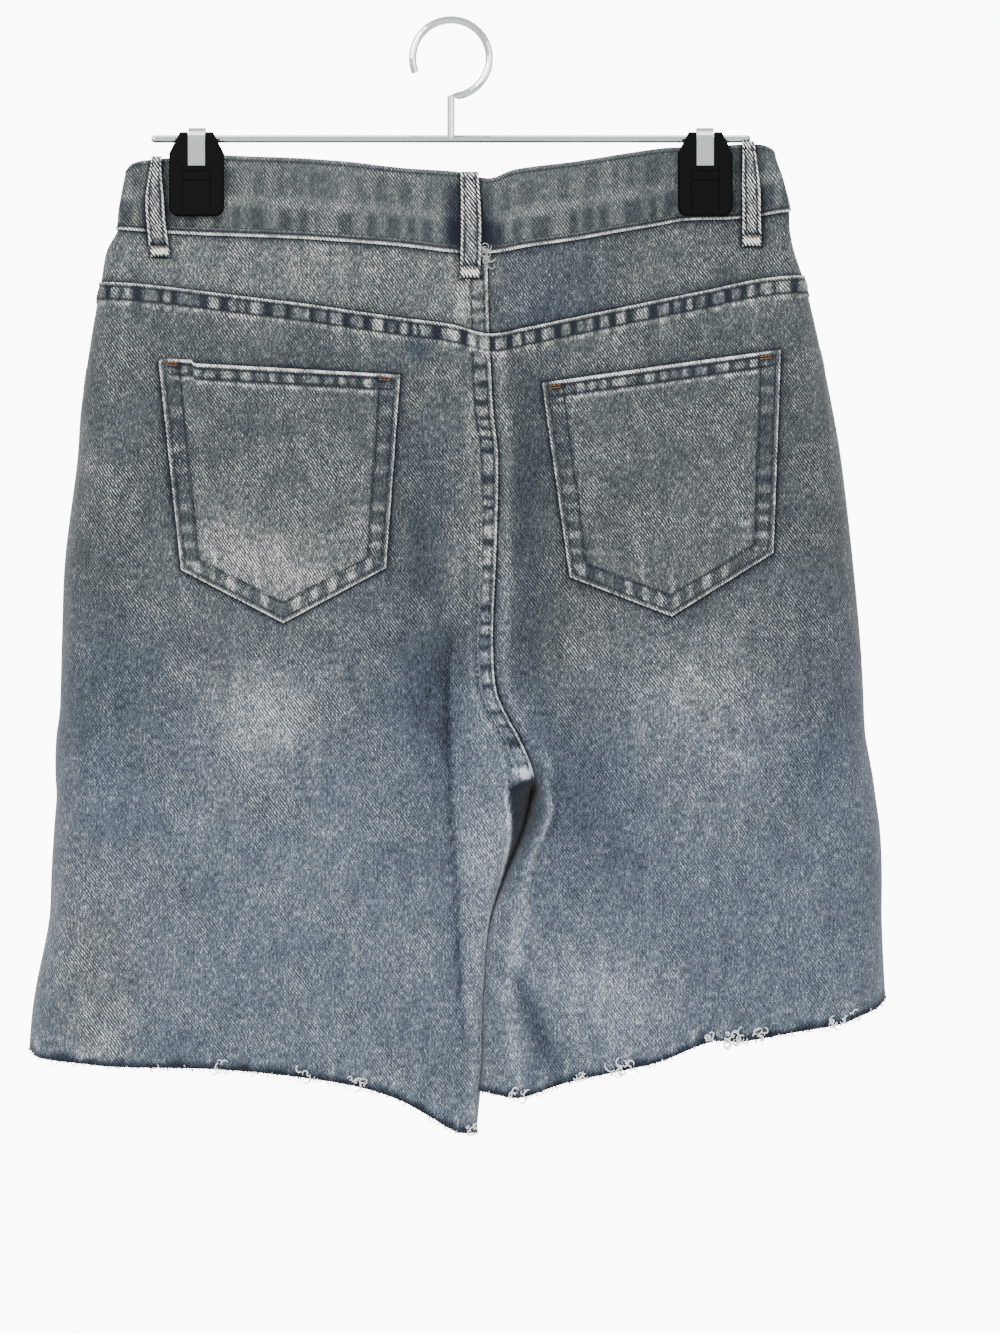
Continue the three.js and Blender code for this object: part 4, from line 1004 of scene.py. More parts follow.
def front_panel(name, half):
    across = ways(1.2, shop().coarse_step, 0.12)
    top = meet(FRONT, half, across, lambda x: mouth(half, x))
    foot = meet(FRONT, half, across, lambda x: hem(FRONT, half, x))
    drops, under = panel_drops(top, foot, shop().coarse_step, band_step=0.9)
    sheet = Sheet(cloth(FRONT, half, across[None, :], drops), FRONT)
    down = drops - top
    opened = ramp(MOUTH_START, 12, top - waist_foot(FRONT, sheet.x[0]))[None, :]
    rise, fade = felled(down, sheet.x, 13 + half, 0.9)
    rise, fade = rise * opened * 0.35, fade * opened
    wash_and_fold_shade(sheet, FRONT, half)
    if half == LEFT:
        inward = sheet.from_seam(across)
        kept = ramp(FLY_END, FLY_END + 8, drops) * (1 - ramp(SEAT_TURN, CROTCH, drops)) * (inward < 14)
        seam_rise, seam_fade = felled(inward, drops, 19)
        rise, fade = np.maximum(rise, seam_rise * kept), fade + seam_fade * kept
    sheet.fade += fade
    raw_edge(sheet, foot)
    sheet.lift(rise)
    cloth_piece(name, sheet)
    first = int(np.argmax(opened[0] > 0.5))
    lines = [row_line(sheet, index_at(under, mm), first, len(across) - 1) for mm in (2.4, 8.2)]
    if half == LEFT:
        start, last = int(np.argmax(drops[:, 0] > FLY_END + 8)), int(np.argmax(drops[:, 0] > SEAT_TURN + 10))
        lines += [column_line(sheet, index_at(across, w), start, last) for w in SEAM_ROWS]
    sew("stitches_" + name, lines)
    return sheet


HEMS = {}


class SHORTS_OT_panels(bpy.types.Operator):
    """Cut the four leg panels, with their felled seams, folds, washes and raw hems"""

    bl_idname = "shorts.panels"
    bl_label = "Leg panels"

    def execute(self, context):
        for side, half in SIDES:
            HEMS[BACK, half] = back_panel("back_" + side, half)
            HEMS[FRONT, half] = front_panel("front_" + side, half)
        return {"FINISHED"}


class SHORTS_OT_yokes(bpy.types.Operator):
    """Sew in the two back yokes"""

    bl_idname = "shorts.yokes"
    bl_label = "Back yokes"

    def execute(self, context):
        for side, half in SIDES:
            across = ways(0.5, shop().fine_step)
            top = meet(BACK, half, across, lambda x: waist_foot(BACK, x)) - 1
            foot = meet(BACK, half, across, yoke_foot)
            levels = spans(0, (0.1, 0.02), (0.9, 0.045), (1, 0.02))
            drops = top + (foot - top) * levels[:, None]
            sheet = Sheet(cloth(BACK, half, across[None, :], drops), BACK)
            wash_and_fold_shade(sheet, BACK, half)
            rise = 0 * drops
            inward = sheet.from_seam(across)
            if half == LEFT:
                kept = inward < 15
                seam_rise, seam_fade = felled(inward, drops + 4, 9)
                rise = seam_rise * kept
                sheet.fade += seam_fade * kept * 0.55 + 0.1 * (inward < 9)
                sheet.fade += 0.3 * bell(inward, 14, 3) * ramp(0.2, 0.8, levels[:, None])
            else:
                # Painted shadow line beside the folded edge of the centre seam on the left half.
                sheet.fade -= 0.7 * bell(inward, 0, 0.9)
                sheet.tone += 0.7 * bell(inward, 30, 26)
                sheet.fade -= 0.2 + 0.1 * bell(inward, 30, 26)
            # Painted shadow along the yoke's foot, under the panel's folded edge that laps over it.
            sheet.fade += 0.16 - 1.4 * np.exp(-(foot - drops) / 0.9) - 0.2 * np.exp(-(foot - drops) / 4)
            # Painted shadow along the yoke's top, under the waistband's edge.
            sheet.fade -= 1.2 * np.exp(-(drops - top - 1) / 1.1)
            streaks = ramp(0, 1, wander(51 + half, sheet.x / 9, sheet.drop / 80))
            sheet.fade += 0.14 * streaks * bell(drops - top, 9, 8)
            paint_loop_shadows(sheet, BACK)
            sheet.lift(rise)
            name = "yoke_" + side
            cloth_piece(name, sheet, denim("washed yokes", fade=0.05, tone=-0.1))
            if half == LEFT:
                lines = [column_line(sheet, index_at(across, w), 2, len(levels) - 1) for w in SEAM_ROWS]
                sew("stitches_" + name, lines)
        return {"FINISHED"}


def band_strip():
    """Places round the waistband: face, half and way of each column, and how deep it is tucked under."""
    half_way = ways(1.5, shop().fine_step, 0.15)
    untuck = (1.04, 1.14)
    under = BAND_WALL + 0.5
    return [
        (FRONT, LEFT, spans(0, (1.08, 0.12))[::-1][:-1], lambda w: 0 * w + under),
        (FRONT, RIGHT, half_way[:-1], lambda w: under * (1 - ramp(*untuck, w))),
        (BACK, RIGHT, half_way[::-1][:-1], lambda w: 0 * w),
        (BACK, LEFT, half_way[:-1], lambda w: 0 * w),
        (FRONT, LEFT, half_way[::-1][:-1], lambda w: 0 * w),
        (FRONT, RIGHT, spans(0, (1, 0.12)), lambda w: 0 * w),
    ]


class SHORTS_OT_waistband(bpy.types.Operator):
    """Fold and sew the waistband all the way round, overlapped at the centre front"""

    bl_idname = "shorts.waistband"
    bl_label = "Waistband"

    def execute(self, context):
        levels = spans(0, (0.05, 0.0125), (0.86, 0.035), (1, 0.0125))
        points, tucks, height, backs = [], [], [], []
        for face, half, across, tuck in band_strip():
            top = meet(face, half, across, lambda x: waist_top(face, x))
            foot = meet(face, half, across, lambda x: waist_foot(face, x))
            drops = top + (foot - top) * levels[:, None]
            points.append(cloth(face, half, across[None, :], drops))
            tucks.append(tuck(across))
            height.append(foot - top)
            backs.append(np.full(len(across), face == BACK))
        points, tucks, height, backs = (np.concatenate(points, axis=1), np.concatenate(tucks),
                                        np.concatenate(height), np.concatenate(backs))
        sheet = Sheet(points, BACK)
        middle = points.shape[1] // 2
        if sheet.out[len(levels) // 2, middle, 1] > 0:
            sheet.out = -sheet.out
        up = (1 - levels[:, None]) * height
        down = levels[:, None] * height
        edge = (1 - ramp(0.8, 1.4, up)) * (1.1 + 0.35 * wander(66, sheet.u / 16))
        roll = 0.35 * bell(up, 1.3, 0.9) - 0.5 * (1 - ramp(0, 0.8, up)) - 0.55 * (1 - ramp(0, 1.6, down))
        groove = bell(up, 2.2, 0.6) + 0.5 * bell(down, 2.4, 0.6)
        squares = []
        for seed, period in ((61, 11.5), (63, 13.5)):
            phase = sheet.u / period + 0.45 * wander(seed, sheet.u / 40)
            beat = np.sin(2 * math.pi * phase) + 0.6 * wander(seed + 1, sheet.u / 15)
            squares.append(ramp(-0.1, 0.5, beat))
        low = ramp(3, 5, up) * (1 - ramp(13, 17, up))
        high = ramp(20, 24, up) * (1 - ramp(33, 37, up))
        dark = squares[0] * low + 0.55 * squares[1] * high
        sheet.tone = 0 * up - 0.25
        sheet.fade = 0.08 * wander(62, sheet.u / 60) - 0.06 - 0.08 * ramp(0, 120, sheet.x)
        sheet.fade += 0.75 * edge - 0.9 * groove
        sheet.fade += 0.12 * bell(up, 18.5, 2.5) - 0.42 * dark
        sheet.fade += 0.16 * (1 - ramp(0, 1.6, down))
        x = sheet.x
        # Darker, bluer patches beside the centre loop on the back.
        left_dark_blue = bell(x, 1.5, 4.2) * (1 - 0.6 * ramp(15, 26, up))
        right_dark_blue = bell(x, 20.5 - 0.1 * up, np.maximum(7 - 0.16 * up, 1.5)) * (1 - 0.8 * ramp(12, 26, up))
        beside = np.minimum(left_dark_blue + right_dark_blue, 1) * backs * ramp(1, 6, up) * ramp(2, 10, down)
        sheet.fade -= 1.15 * beside
        sheet.tone += 1.1 * beside
        paint_loop_shadows(sheet, BACK)
        sheet.lift(BAND_RISE - tucks + roll - 0.15 * dark - 0.2 * groove)
        look = denim("washed waistband", tone=-0.05, contrast=0.7, weave=0.9)
        cloth_piece("waistband", sheet, look, BAND_WALL)
        last = points.shape[1] - 1
        rows = (index_at(levels, 0.06), index_at(levels, 0.9))
        sew("stitches_waistband", [row_line(sheet, row, 12, last, 900) for row in rows])
        return {"FINISHED"}


def laid_points(face, x, drop, rise):
    """Points and directions on the cloth's face, lifted off it, for patches that lie on either half."""
    made, outs = [], []
    for half in (LEFT, RIGHT):
        way = way_to(face, half, x, drop)
        points = cloth(face, half, way, drop)
        made.append(points)
        outs.append(Sheet(points, face).out)
    left = (x < OUTLINE.at(drop, "centre"))[..., None]
    points = np.where(left, made[0], made[1])
    out = np.where(left, outs[0], outs[1])
    sheet = Sheet(points, face)
    sheet.out = out
    sheet.lift(rise)
    return sheet


def paint_loop_shadows(sheet, face):
    """Painted shadow lines beside the belt loops, which stand off the cloth under them."""
    for place, (side, top_x, foot_x, below, _) in LOOPS.items():
        if side != face:
            continue
        start, end = 15.0, float(waist_foot(face, np.array(float(foot_x)))) + below
        down = np.clip((sheet.drop - start) / (end - start), 0, 1)
        middle, half_width = loop_line(place, down)
        outside = np.maximum(np.abs(sheet.x - middle) - half_width, 0)
        beside = np.exp(-outside / 0.8) * (sheet.points[..., 1] * face > 0)
        sheet.fade -= 1.1 * beside * (1 - ramp(end, end + 1.5, sheet.drop))


def loop_line(place, down):
    """Middle and half width of a belt loop at a share of its length, narrower where it turns at its top."""
    _, top_x, foot_x, _, _ = LOOPS[place]
    narrow, bend = {"back_left": (0.48, -2.2), "back_centre": (0.1, 0.8), "back_right": (0.34, 0.9)}.get(
        place, (0.1, 0.0))
    middle = top_x + (foot_x - top_x) * down + bend * np.sin(math.pi * down)
    return middle, LOOP_HALF * (1 - narrow * (1 - ramp(0, 0.5, down)))


def hem_band(across, along, seed):
    """Fade of a doubled edge with two stitch rows, by distance in from the edge and along it."""
    phase = along / shop().pucker_pitch + 0.4 * wander(seed, along / 40)
    beat = 0.5 + 0.5 * np.cos(2 * math.pi * phase)
    block = ramp(0.1, 0.6, beat + 0.35 * wander(seed + 1, along / 8))
    inside = ramp(2.4, 3.4, across) * (1 - ramp(7.2, 8.2, across))
    grooves = bell(across, 2.7, 0.6) + bell(across, 7.9, 0.6)
    edge = 1 - ramp(1.3, 2.0, across)
    uneven = 0.25 * wander(seed + 2, along / 12)
    fade = edge * (0.95 + uneven) + inside * (-0.5 + (0.85 + uneven) * block) - 0.85 * grooves
    fade = fade + (0.55 + uneven) * bell(across, 9.8, 0.9)
    return fade, 0.22 * (block - 0.5) * inside - 0.18 * grooves


def seat_pocket(name, side, half):
    top_outer, top_inner, foot_inner, foot_outer, tip = POCKETS[side]
    s = spans(0, (0.02, 0.005), (0.1, 0.008), (0.9, 0.0115), (0.98, 0.008), (1, 0.005))
    t = spans(0, (0.09, 0.006), (0.88, 0.0115), (0.98, 0.008), (1, 0.005))
    across, down = np.meshgrid(s, t)
    foot = np.where(across < 0.5, foot_outer[1] + (tip - foot_outer[1]) * 2 * across,
                    tip + (foot_inner[1] - tip) * (2 * across - 1))
    top = top_outer[1] + (top_inner[1] - top_outer[1]) * across
    if half == LEFT:
        top = top - 1.7 * ramp(0.0, 0.012, across) * (1 - ramp(0.135, 0.15, across))
    left = top_outer[0] + (foot_outer[0] - top_outer[0]) * down
    right = top_inner[0] + (foot_inner[0] - top_inner[0]) * down
    x = left + (right - left) * across
    drop = top + (foot - top) * down
    from_left, from_right = (x - left), (right - x)
    from_top, from_foot = (drop - top), (foot - drop) * 0.97
    edge = np.minimum(np.minimum(from_left, from_right), from_foot)
    mouth_edge = from_top
    nearest = np.minimum(edge, mouth_edge)
    fade, relief = hem_band(mouth_edge, x, 71 + half)
    corner = ramp(0, 9, edge)
    side_run = np.where(from_foot < np.minimum(from_left, from_right), x, drop)
    side_beat = ramp(-0.2, 0.7, wander(73 + half, side_run / 9))
    side_fade = (0.75 + 0.25 * wander(79 + half, side_run / 14)) * (1 - ramp(0.5, 1.1, edge))
    band = ramp(2.4, 3.2, edge) * (1 - ramp(9.6, 10.6, edge))
    low = ramp(0.45, 0.9, down)
    side_fade = side_fade + band * (-0.3 + (0.4 + 0.25 * low) * side_beat)
    grooves = bell(edge, 2.6, 0.5) + bell(edge, 10.2, 0.55)
    side_fade = side_fade - (0.75 + 0.2 * wander(85 + half, side_run / 10)) * grooves
    streaks = ramp(0, 0.9, wander(83 + half, side_run / 6)) * ramp(10.6, 12, edge) * (1 - ramp(14, 27, edge))
    side_fade = side_fade + (0.12 + 0.25 * low) * streaks
    below_band = ramp(7.5, 10, mouth_edge)
    rise = PATCH_RISE - 0.75 * (1 - ramp(0, 1.4, nearest)) + relief * corner
    rise = rise + below_band * (0.16 * (side_beat - 0.5) * band - 0.16 * grooves)
    rise = rise + 0.9 * bell(mouth_edge, 0, 9) * np.sin(math.pi * across) ** 0.7
    rise = rise + 0.5 * wander(75 + half, x / 60, drop / 60) * ramp(12, 26, nearest)
    sheet = laid_points(BACK, x, drop, rise)
    wash_and_fold_shade(sheet, BACK, half)
    tack = (edge > 2) * (edge < 12) * (from_foot > 40) * bell(mouth_edge, 3.4, 1.6)
    # Painted shadow round the rust bartacks at the pocket mouth.
    fade = fade - 1.3 * tack
    keep_side = np.where(mouth_edge < 9, np.where(edge < 2, 1.0, 0.4), 1.0)
    sheet.fade += fade * corner + side_fade * keep_side + 0.02
    sheet.tone -= 0.15
    cloth_piece(name, sheet)
    width, height = abs(top_inner[0] - top_outer[0]), tip - top_outer[1]
    s_at = lambda mm: index_at(s, mm / width)
    s_end = lambda mm: index_at(s, 1 - mm / width)
    t_at = lambda mm: index_at(t, mm / height)
    t_end = lambda mm: index_at(t, 1 - mm / height)
    lines = [row_line(sheet, t_at(mm), s_at(2.5), s_end(2.5)) for mm in (2.5, 7.9)]
    for inset in (2.6, 10.2):
        lines.append(column_line(sheet, s_at(inset), t_at(2.5), t_end(inset)))
        lines.append(column_line(sheet, s_end(inset), t_at(2.5), t_end(inset)))
        lines.append(row_line(sheet, t_end(inset), s_at(inset), s_end(inset)))
    sew("stitches_" + name, lines, radius=0.24)
    tacks = []
    for first, last in ((s_at(3), s_at(11)), (s_end(11), s_end(3))):
        tacks += [row_line(sheet, t_at(mm), first, last, 40) for mm in (2.7, 4.1)]
    sew("bartacks_" + name, tacks, "rust", pitch=2.1, length=2.3, radius=0.3)


class SHORTS_OT_seat_pockets(bpy.types.Operator):
    """Lay the two seat pockets on the back panels, with hemmed mouths, double stitching and bartacks"""

    bl_idname = "shorts.seat_pockets"
    bl_label = "Seat pockets"

    def execute(self, context):
        for side, half in SIDES:
            seat_pocket("seat_pocket_" + side, side, half)
        return {"FINISHED"}


class SHORTS_OT_front_pockets(bpy.types.Operator):
    """Set the facings into the mouths of the front pockets"""

    bl_idname = "shorts.front_pockets"
    bl_label = "Front pocket facings"

    def execute(self, context):
        for side, half in SIDES:
            across = ways(1.5, shop().coarse_step, 0.2)
            x = cloth(FRONT, half, across, 60.0)[:, 0]
            across = across[(mouth_fall(half, x, 60.0) > MOUTH_START) & (across < 2.97)]
            top = meet(FRONT, half, across, lambda at: waist_foot(FRONT, at)) - 1
            foot = meet(FRONT, half, across, lambda at: mouth(half, at)) + 0.2
            levels = spans(0, (1, 0.03))
            drops = top + (foot - top) * levels[:, None]
            sheet = Sheet(cloth(FRONT, half, across[None, :], drops), FRONT)
            sheet.fade = -0.3 - 0.5 * np.exp(-(foot - drops) / 2.5) + 0 * drops
            sheet.tone = 0.1 + 0 * drops
            sheet.lift(-0.35 + 0 * drops)
            cloth_piece("front_pocket_facing_" + side, sheet)
        return {"FINISHED"}


class SHORTS_OT_fly(bpy.types.Operator):
    """Fold the fly over the centre front, with its curved double stitching"""

    bl_idname = "shorts.fly"
    bl_label = "Fly"

    def execute(self, context):
        top = float(waist_foot(FRONT, np.array(FRONT_CENTRE))) + 0.4
        s, t = spans(0, (0.06, 0.015), (1, 0.03)), spans(0, (1, 0.016))
        across, down = np.meshgrid(s, t)
        drop = top + (FLY_END - top) * down
        centre = OUTLINE.at(drop, "centre")
        left = centre - FLY_BACK * np.sqrt(1 - (0.93 * down) ** 2)
        right = centre + (FLY_OVER - 10) + (1.5 - FLY_OVER + 10) * down
        x = left + (right - left) * across
        outside, inside = right - x, x - left
        rise = PATCH_RISE - 0.6 * (1 - ramp(0, 1.3, outside)) - 1.1 * (1 - ramp(0, 4, inside))
        sheet = laid_points(FRONT, x, drop, rise)
        edge, _ = hem_band(outside, drop, 81)
        sheet.fade = -0.22 + edge * 0.8 - 0.4 * bell(inside, 3.4, 0.8) + 0.3 * bell(inside, 6.5, 1.6)
        sheet.tone = ramp(190, 330, drop)
        cloth_piece("fly_flap", sheet, name="fly")
        wide = FLY_BACK + FLY_OVER - 10
        lines = [column_line(sheet, index_at(s, mm / wide), 1, len(t) - 1) for mm in (2.2, 8)]
        lines.append(column_line(sheet, index_at(s, 1 - 2.4 / wide), 1, len(t) - 1))
        sew("stitches_fly", lines)
        tack = row_line(sheet, len(t) - 4, index_at(s, 0.3), index_at(s, 0.8), 40)
        sew("bartack_fly", [tack], "rust", pitch=0.9, length=2.4, radius=0.3, across=True)
        return {"FINISHED"}


class SHORTS_OT_belt_loops(bpy.types.Operator):
    """Sew on the five belt loops with their folded ends"""

    bl_idname = "shorts.belt_loops"
    bl_label = "Belt loops"

    def execute(self, context):
        for number, (place, (face, top_x, foot_x, below, base)) in enumerate(LOOPS.items()):
            start = float(waist_top(face, np.array(float(top_x)))) - (1.3 if face == BACK else -0.4)
            end = float(waist_foot(face, np.array(float(foot_x)))) + below + 0.8
            s = spans(-1, (-0.8, 0.1), (0.8, 0.16), (1, 0.1))
            t = spans(0, (0.06, 0.012), (0.86, 0.016), (1, 0.011))
            across, down = np.meshgrid(s, t)
            middle, half_width = loop_line(place, down)
            x = middle + across * half_width
            drop = start + (end - start) * down
            rest = BAND_RISE + 0.35 + (base + 0.5 - BAND_RISE - 0.35) * ramp(0.80, 0.92, down)
            bow = LOOP_STAND * np.sin(math.pi * np.clip(down / 0.93, 0, 1)) ** 0.8
            from_foot = (1 - down) * (end - start)
            folded = 1.5 * np.sqrt(np.clip(1 - ((from_foot - 2.6) / 2.9) ** 2, 0, 1))
            folded = folded * (1 - 0.5 * np.abs(across) ** 4) - 0.7 * bell(from_foot, 6.6, 0.8)
            from_top = down * (end - start)
            folded = folded + 0.9 * bell(from_top, 2, 1.6)
            roll = -0.6 * ramp(0.78, 1, np.abs(across)) ** 2 - 0.3 * bell(np.abs(across), 0.62, 0.12)
            rise = rest + bow + 1.7 + folded + roll - 0.5 * (1 - ramp(0, 1.5, down * (end - start)))
            sheet = laid_points(face, x, drop, rise)
            rim = ramp(0.76, 0.86, np.abs(across))
            rows = bell(np.abs(across), 0.62, 0.11)
            seed = 91 + number
            uneven = 0.2 * wander(seed, drop / 9, across)
            sheet.fade = -0.04 + 0.9 * rim - 1.05 * rows + uneven
            end_worn = ramp(0.5, 1.2, from_foot) * (1 - ramp(3.8, 4.8, from_foot)) * (np.abs(across) < 0.85)
            sheet.fade = np.where(from_foot < 6, -0.2 + 1.2 * end_worn, sheet.fade)
            # Painted shadow line in the crease above the loop's folded foot.
            sheet.fade -= bell(from_foot, 6.4, 0.9)
            sheet.fade += 0.5 * bell(from_top, 1.5, 1.4) - 0.7 * bell(from_top, 4.2, 0.7)
            sheet.tone = 0 * x
            name = "belt_loop_" + place
            look = denim("washed loops", weave=2.4, pitch=0.0015)
            cloth_piece(name, sheet, look, LOOP_WALL)
            last = index_at(t, 1 - 6.5 / (end - start))
            lines = [column_line(sheet, index_at(s, w), 4, last, 60) for w in (-0.62, 0.62)]
            sew("stitches_" + name, lines, pitch=2.6, length=2.1, radius=0.22)
            tack_row = index_at(t, 1 - 4.2 / (end - start))
            tack = row_line(sheet, tack_row, index_at(s, -0.7), index_at(s, 0.7), 30)
            sew("bartack_" + name, [tack], "rust", pitch=0.8, length=1.6, radius=0.22, across=True)
        return {"FINISHED"}


def loose_thread(draw, root, out, down, length, curl=0.45, fall=(0.1, 1.0)):
    """A short curling path that leaves the cut edge, lying mostly over the face of the cloth."""
    side = out.cross(down).normalized()
    heading = down * draw.uniform(*fall) + side * draw.choice((-1, 1)) * draw.uniform(0.2, 1.0)
    heading = (heading + out * draw.uniform(0.0, 0.5)).normalized()
    turn = draw.choice((-1, 1)) * curl * draw.uniform(0.5, 1.6)
    points = [root - down * 0.8]
    here = root.copy()
    steps = 5
    for _ in range(steps):
        bend = heading.cross(out).normalized() * turn
        heading = (heading + bend + down * draw.uniform(-0.15, 0.1)).normalized()
        here = here + heading * length / steps
        points.append(here.copy())
    return points


def loop_tuft(draw):
    """The frayed end that has come loose beside the centre loop."""
    paths = []
    for _ in range(20):
        root = Vector((draw.uniform(15, 19.5), -15.5, -HOOK_REACH - draw.uniform(57, 66)))
        out = Vector((0, -1, 0))
        down = Vector((draw.uniform(0.2, 0.9), 0, -1)).normalized()
        paths.append(loose_thread(draw, root, out, down, draw.uniform(4, 8), 1.1))
    strands("loose_loop_end", paths, "grey", 0.24)


class SHORTS_OT_frayed_hems(bpy.types.Operator):
    """Fray the cut hems with short threads and a few longer tufts"""

    bl_idname = "shorts.frayed_hems"
    bl_label = "Frayed hems"

    def execute(self, context):
        fray = context.scene.shorts_fray
        draw = random.Random(fray.seed)
        loop_tuft(draw)
        for side, half in SIDES:
            pale, deep, tufts = [], [], []
            for face in (BACK, FRONT):
                sheet = HEMS[face, half]
                edge, above, outs = sheet.points[-1], sheet.points[-4], sheet.out[-1]
                run = np.concatenate([[0], np.cumsum(np.linalg.norm(np.diff(edge, axis=0), axis=1))])

                def root_at(place):
                    found = [Vector([np.interp(place, run, grid[:, c]) for c in range(3)])
                             for grid in (edge, above, outs)]
                    down = (found[0] - found[1]).normalized()
                    inward = found[2].normalized() * -draw.uniform(0.1, 1.1)
                    return found[0] + inward, found[2].normalized(), down

                for k in range(int(run[-1] / fray.spacing)):
                    root, out, down = root_at((k + draw.random()) * fray.spacing)
                    length = fray.longest * draw.random() ** 1.6 + 0.6
                    kind = pale if draw.random() < 0.16 else deep
                    kind.append(loose_thread(draw, root, out, down, length))
                for x, count, longest in HEM_TUFTS:
                    inside = edge[:, 0].min() < x < edge[:, 0].max()
                    if face == FRONT or not inside:
                        continue
                    order = np.argsort(edge[:, 0])
                    middle = float(np.interp(x, edge[order, 0], run[order]))
                    for _ in range(count):
                        root, out, down = root_at(middle + draw.gauss(0, 2.4))
                        root = root + out * draw.uniform(1.3, 2.4) - down * draw.uniform(0.4, 3.4)
                        length = longest * draw.uniform(0.4, 1)
                        tufts.append(loose_thread(draw, root, out, down, length, 0.9, (-0.5, 0.5)))
            strands("frayed_white_" + side, pale, "white", 0.26)
            strands("frayed_tufts_" + side, tufts, "white", 0.36)
            strands("frayed_blue_" + side, deep, "indigo", 0.22)
        return {"FINISHED"}


class SHORTS_OT_hanger(bpy.types.Operator):
    """Finish the button, the clips, their springs and the wire"""

    bl_idname = "shorts.hanger"
    bl_label = "Hanger and button"

    def execute(self, context):
        black = plain("black plastic", (0.001, 0.001, 0.0011), 0.5, grain=0.3, size=2600.0, lift=0.00006,
                      shine=0.07)
        chrome = plain("bright chrome", (0.62, 0.63, 0.64), 0.16, metal=1.0, grain=0.06, size=500.0,
                       lift=0.00002)
        brass = plain("aged brass", (0.36, 0.26, 0.13), 0.36, metal=1.0, grain=0.4, size=1400.0)
        for name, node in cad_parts.items():
            look = None
            if name.startswith("clip_pad"):
                look = black
            elif name.startswith("clip_spring") or name == "hanger_wire":
                look = chrome
            elif name == "waist_button":
                look = brass
            if look:
                for slot in node.material_slots:
                    slot.material = look
        return {"FINISHED"}


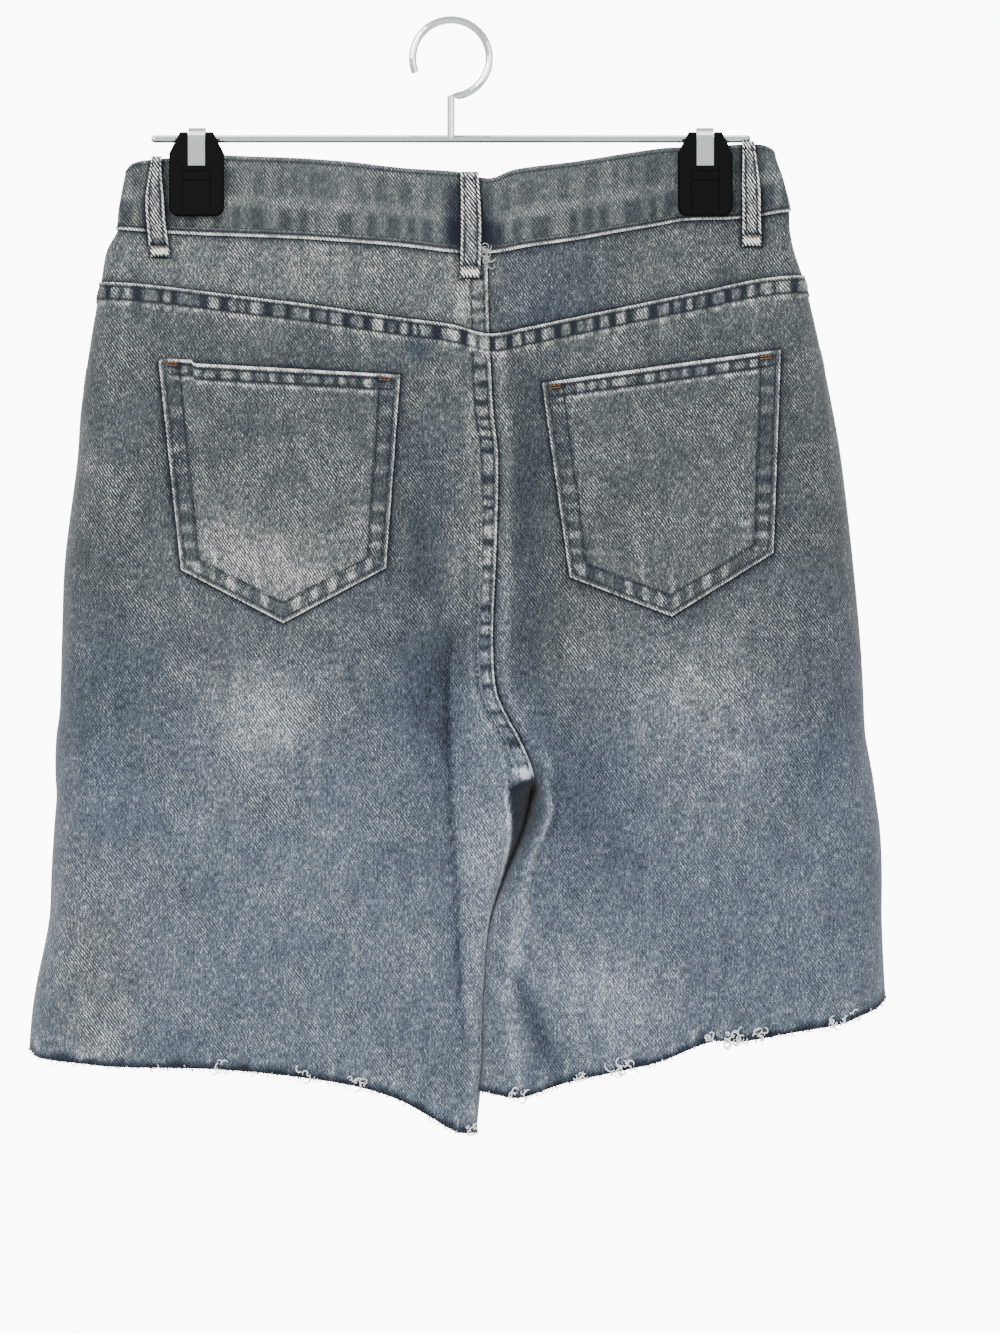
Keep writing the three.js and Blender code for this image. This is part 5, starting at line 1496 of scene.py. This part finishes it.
class SHORTS_OT_stage(bpy.types.Operator):
    """Set the camera, the pale floor and the soft light"""

    bl_idname = "shorts.stage"
    bl_label = "Stage"

    def execute(self, context):
        stage = context.scene.shorts_stage
        camera = bpy.data.objects.new("camera", bpy.data.cameras.new("camera"))
        context.scene.collection.objects.link(camera)
        middle = Vector((0.0255, 0, -0.3343))
        camera.location = middle + Vector((0, -stage.distance, 0))
        camera.rotation_euler = (math.pi / 2, 0, 0)
        height = stage.view_width * PICTURE_SHAPE
        camera.data.lens = camera.data.sensor_width * stage.distance / height
        context.scene.camera = camera
        floor = bmesh.new()
        bmesh.ops.create_circle(floor, cap_ends=True, segments=96, radius=3.6,
                                matrix=Matrix.Translation((0, 0, -1.3)))
        mesh = bpy.data.meshes.new("floor")
        floor.to_mesh(mesh)
        floor.free()
        ground = bpy.data.objects.new("floor", mesh)
        context.scene.collection.objects.link(ground)
        mesh.materials.append(plain("floor_paint", (0.85, 0.85, 0.84), 0.8, grain=0.02, size=3.0))
        lights = [
            # name, place, size, share of the key light's power
            ("key", (-1.3, -2.3, 0.9), 1.2, 1.0),
            ("fill", (1.7, -2.2, 0.1), 1.6, 0.5),
            ("top", (0.0, -0.4, 1.9), 1.4, 0.35),
            ("front_key", (1.3, 2.4, 0.7), 1.6, 0.8),
            ("front_fill", (-1.7, 2.0, 0.2), 1.6, 0.5),
        ]
        for name, place, size, share in lights:
            data = bpy.data.lights.new(name, "AREA")
            data.energy = stage.key * share
            data.size = size
            lamp = bpy.data.objects.new(name, data)
            lamp.location = place
            lamp.rotation_euler = (middle - Vector(place)).to_track_quat("-Z", "Y").to_euler()
            context.scene.collection.objects.link(lamp)
        world = bpy.data.worlds.new("studio")
        world.use_nodes = True
        context.scene.world = world
        tree = world.node_tree
        tree.nodes.clear()
        soft = add_node(tree, "ShaderNodeBackground", {"Color": (1, 1, 1, 1), "Strength": stage.sky})
        shown = add_node(tree, "ShaderNodeBackground", {"Color": (1, 1, 1, 1), "Strength": 11.0})
        path = add_node(tree, "ShaderNodeLightPath")
        mixed = add_node(tree, "ShaderNodeMixShader", {0: path.outputs["Is Camera Ray"]})
        tree.links.new(soft.outputs[0], mixed.inputs[1])
        tree.links.new(shown.outputs[0], mixed.inputs[2])
        out = add_node(tree, "ShaderNodeOutputWorld")
        tree.links.new(mixed.outputs[0], out.inputs["Surface"])
        return {"FINISHED"}


OPERATORS = (
    SHORTS_OT_stage,
    SHORTS_OT_panels,
    SHORTS_OT_yokes,
    SHORTS_OT_waistband,
    SHORTS_OT_seat_pockets,
    SHORTS_OT_front_pockets,
    SHORTS_OT_fly,
    SHORTS_OT_belt_loops,
    SHORTS_OT_frayed_hems,
    SHORTS_OT_hanger,
)


class SHORTS_PT_sidebar(bpy.types.Panel):
    """The steps of making the shorts"""

    bl_idname = "SHORTS_PT_sidebar"
    bl_label = "Denim Shorts"
    bl_space_type = "VIEW_3D"
    bl_region_type = "UI"
    bl_category = "Shorts"

    def draw(self, context):
        scene = context.scene
        for settings in (scene.shorts_cloth, scene.shorts_fray, scene.shorts_stage):
            box = self.layout.box()
            for name in settings.__annotations__:
                box.prop(settings, name)
        for step in OPERATORS:
            self.layout.operator(step.bl_idname)


SETTINGS = {"shorts_cloth": ShortsCloth, "shorts_fray": ShortsFray, "shorts_stage": ShortsStage}
CLASSES = (*SETTINGS.values(), *OPERATORS, SHORTS_PT_sidebar)


def register():
    for kind in CLASSES:
        bpy.utils.register_class(kind)
    for name, kind in SETTINGS.items():
        setattr(bpy.types.Scene, name, PointerProperty(type=kind))


def unregister():
    for name in SETTINGS:
        delattr(bpy.types.Scene, name)
    for kind in reversed(CLASSES):
        bpy.utils.unregister_class(kind)


def main():
    register()
    bpy.ops.shorts.stage()
    bpy.ops.shorts.panels()
    bpy.ops.shorts.yokes()
    bpy.ops.shorts.waistband()
    bpy.ops.shorts.seat_pockets()
    bpy.ops.shorts.front_pockets()
    bpy.ops.shorts.fly()
    bpy.ops.shorts.belt_loops()
    bpy.ops.shorts.frayed_hems()
    bpy.ops.shorts.hanger()


if __name__ == "__main__":
    main()
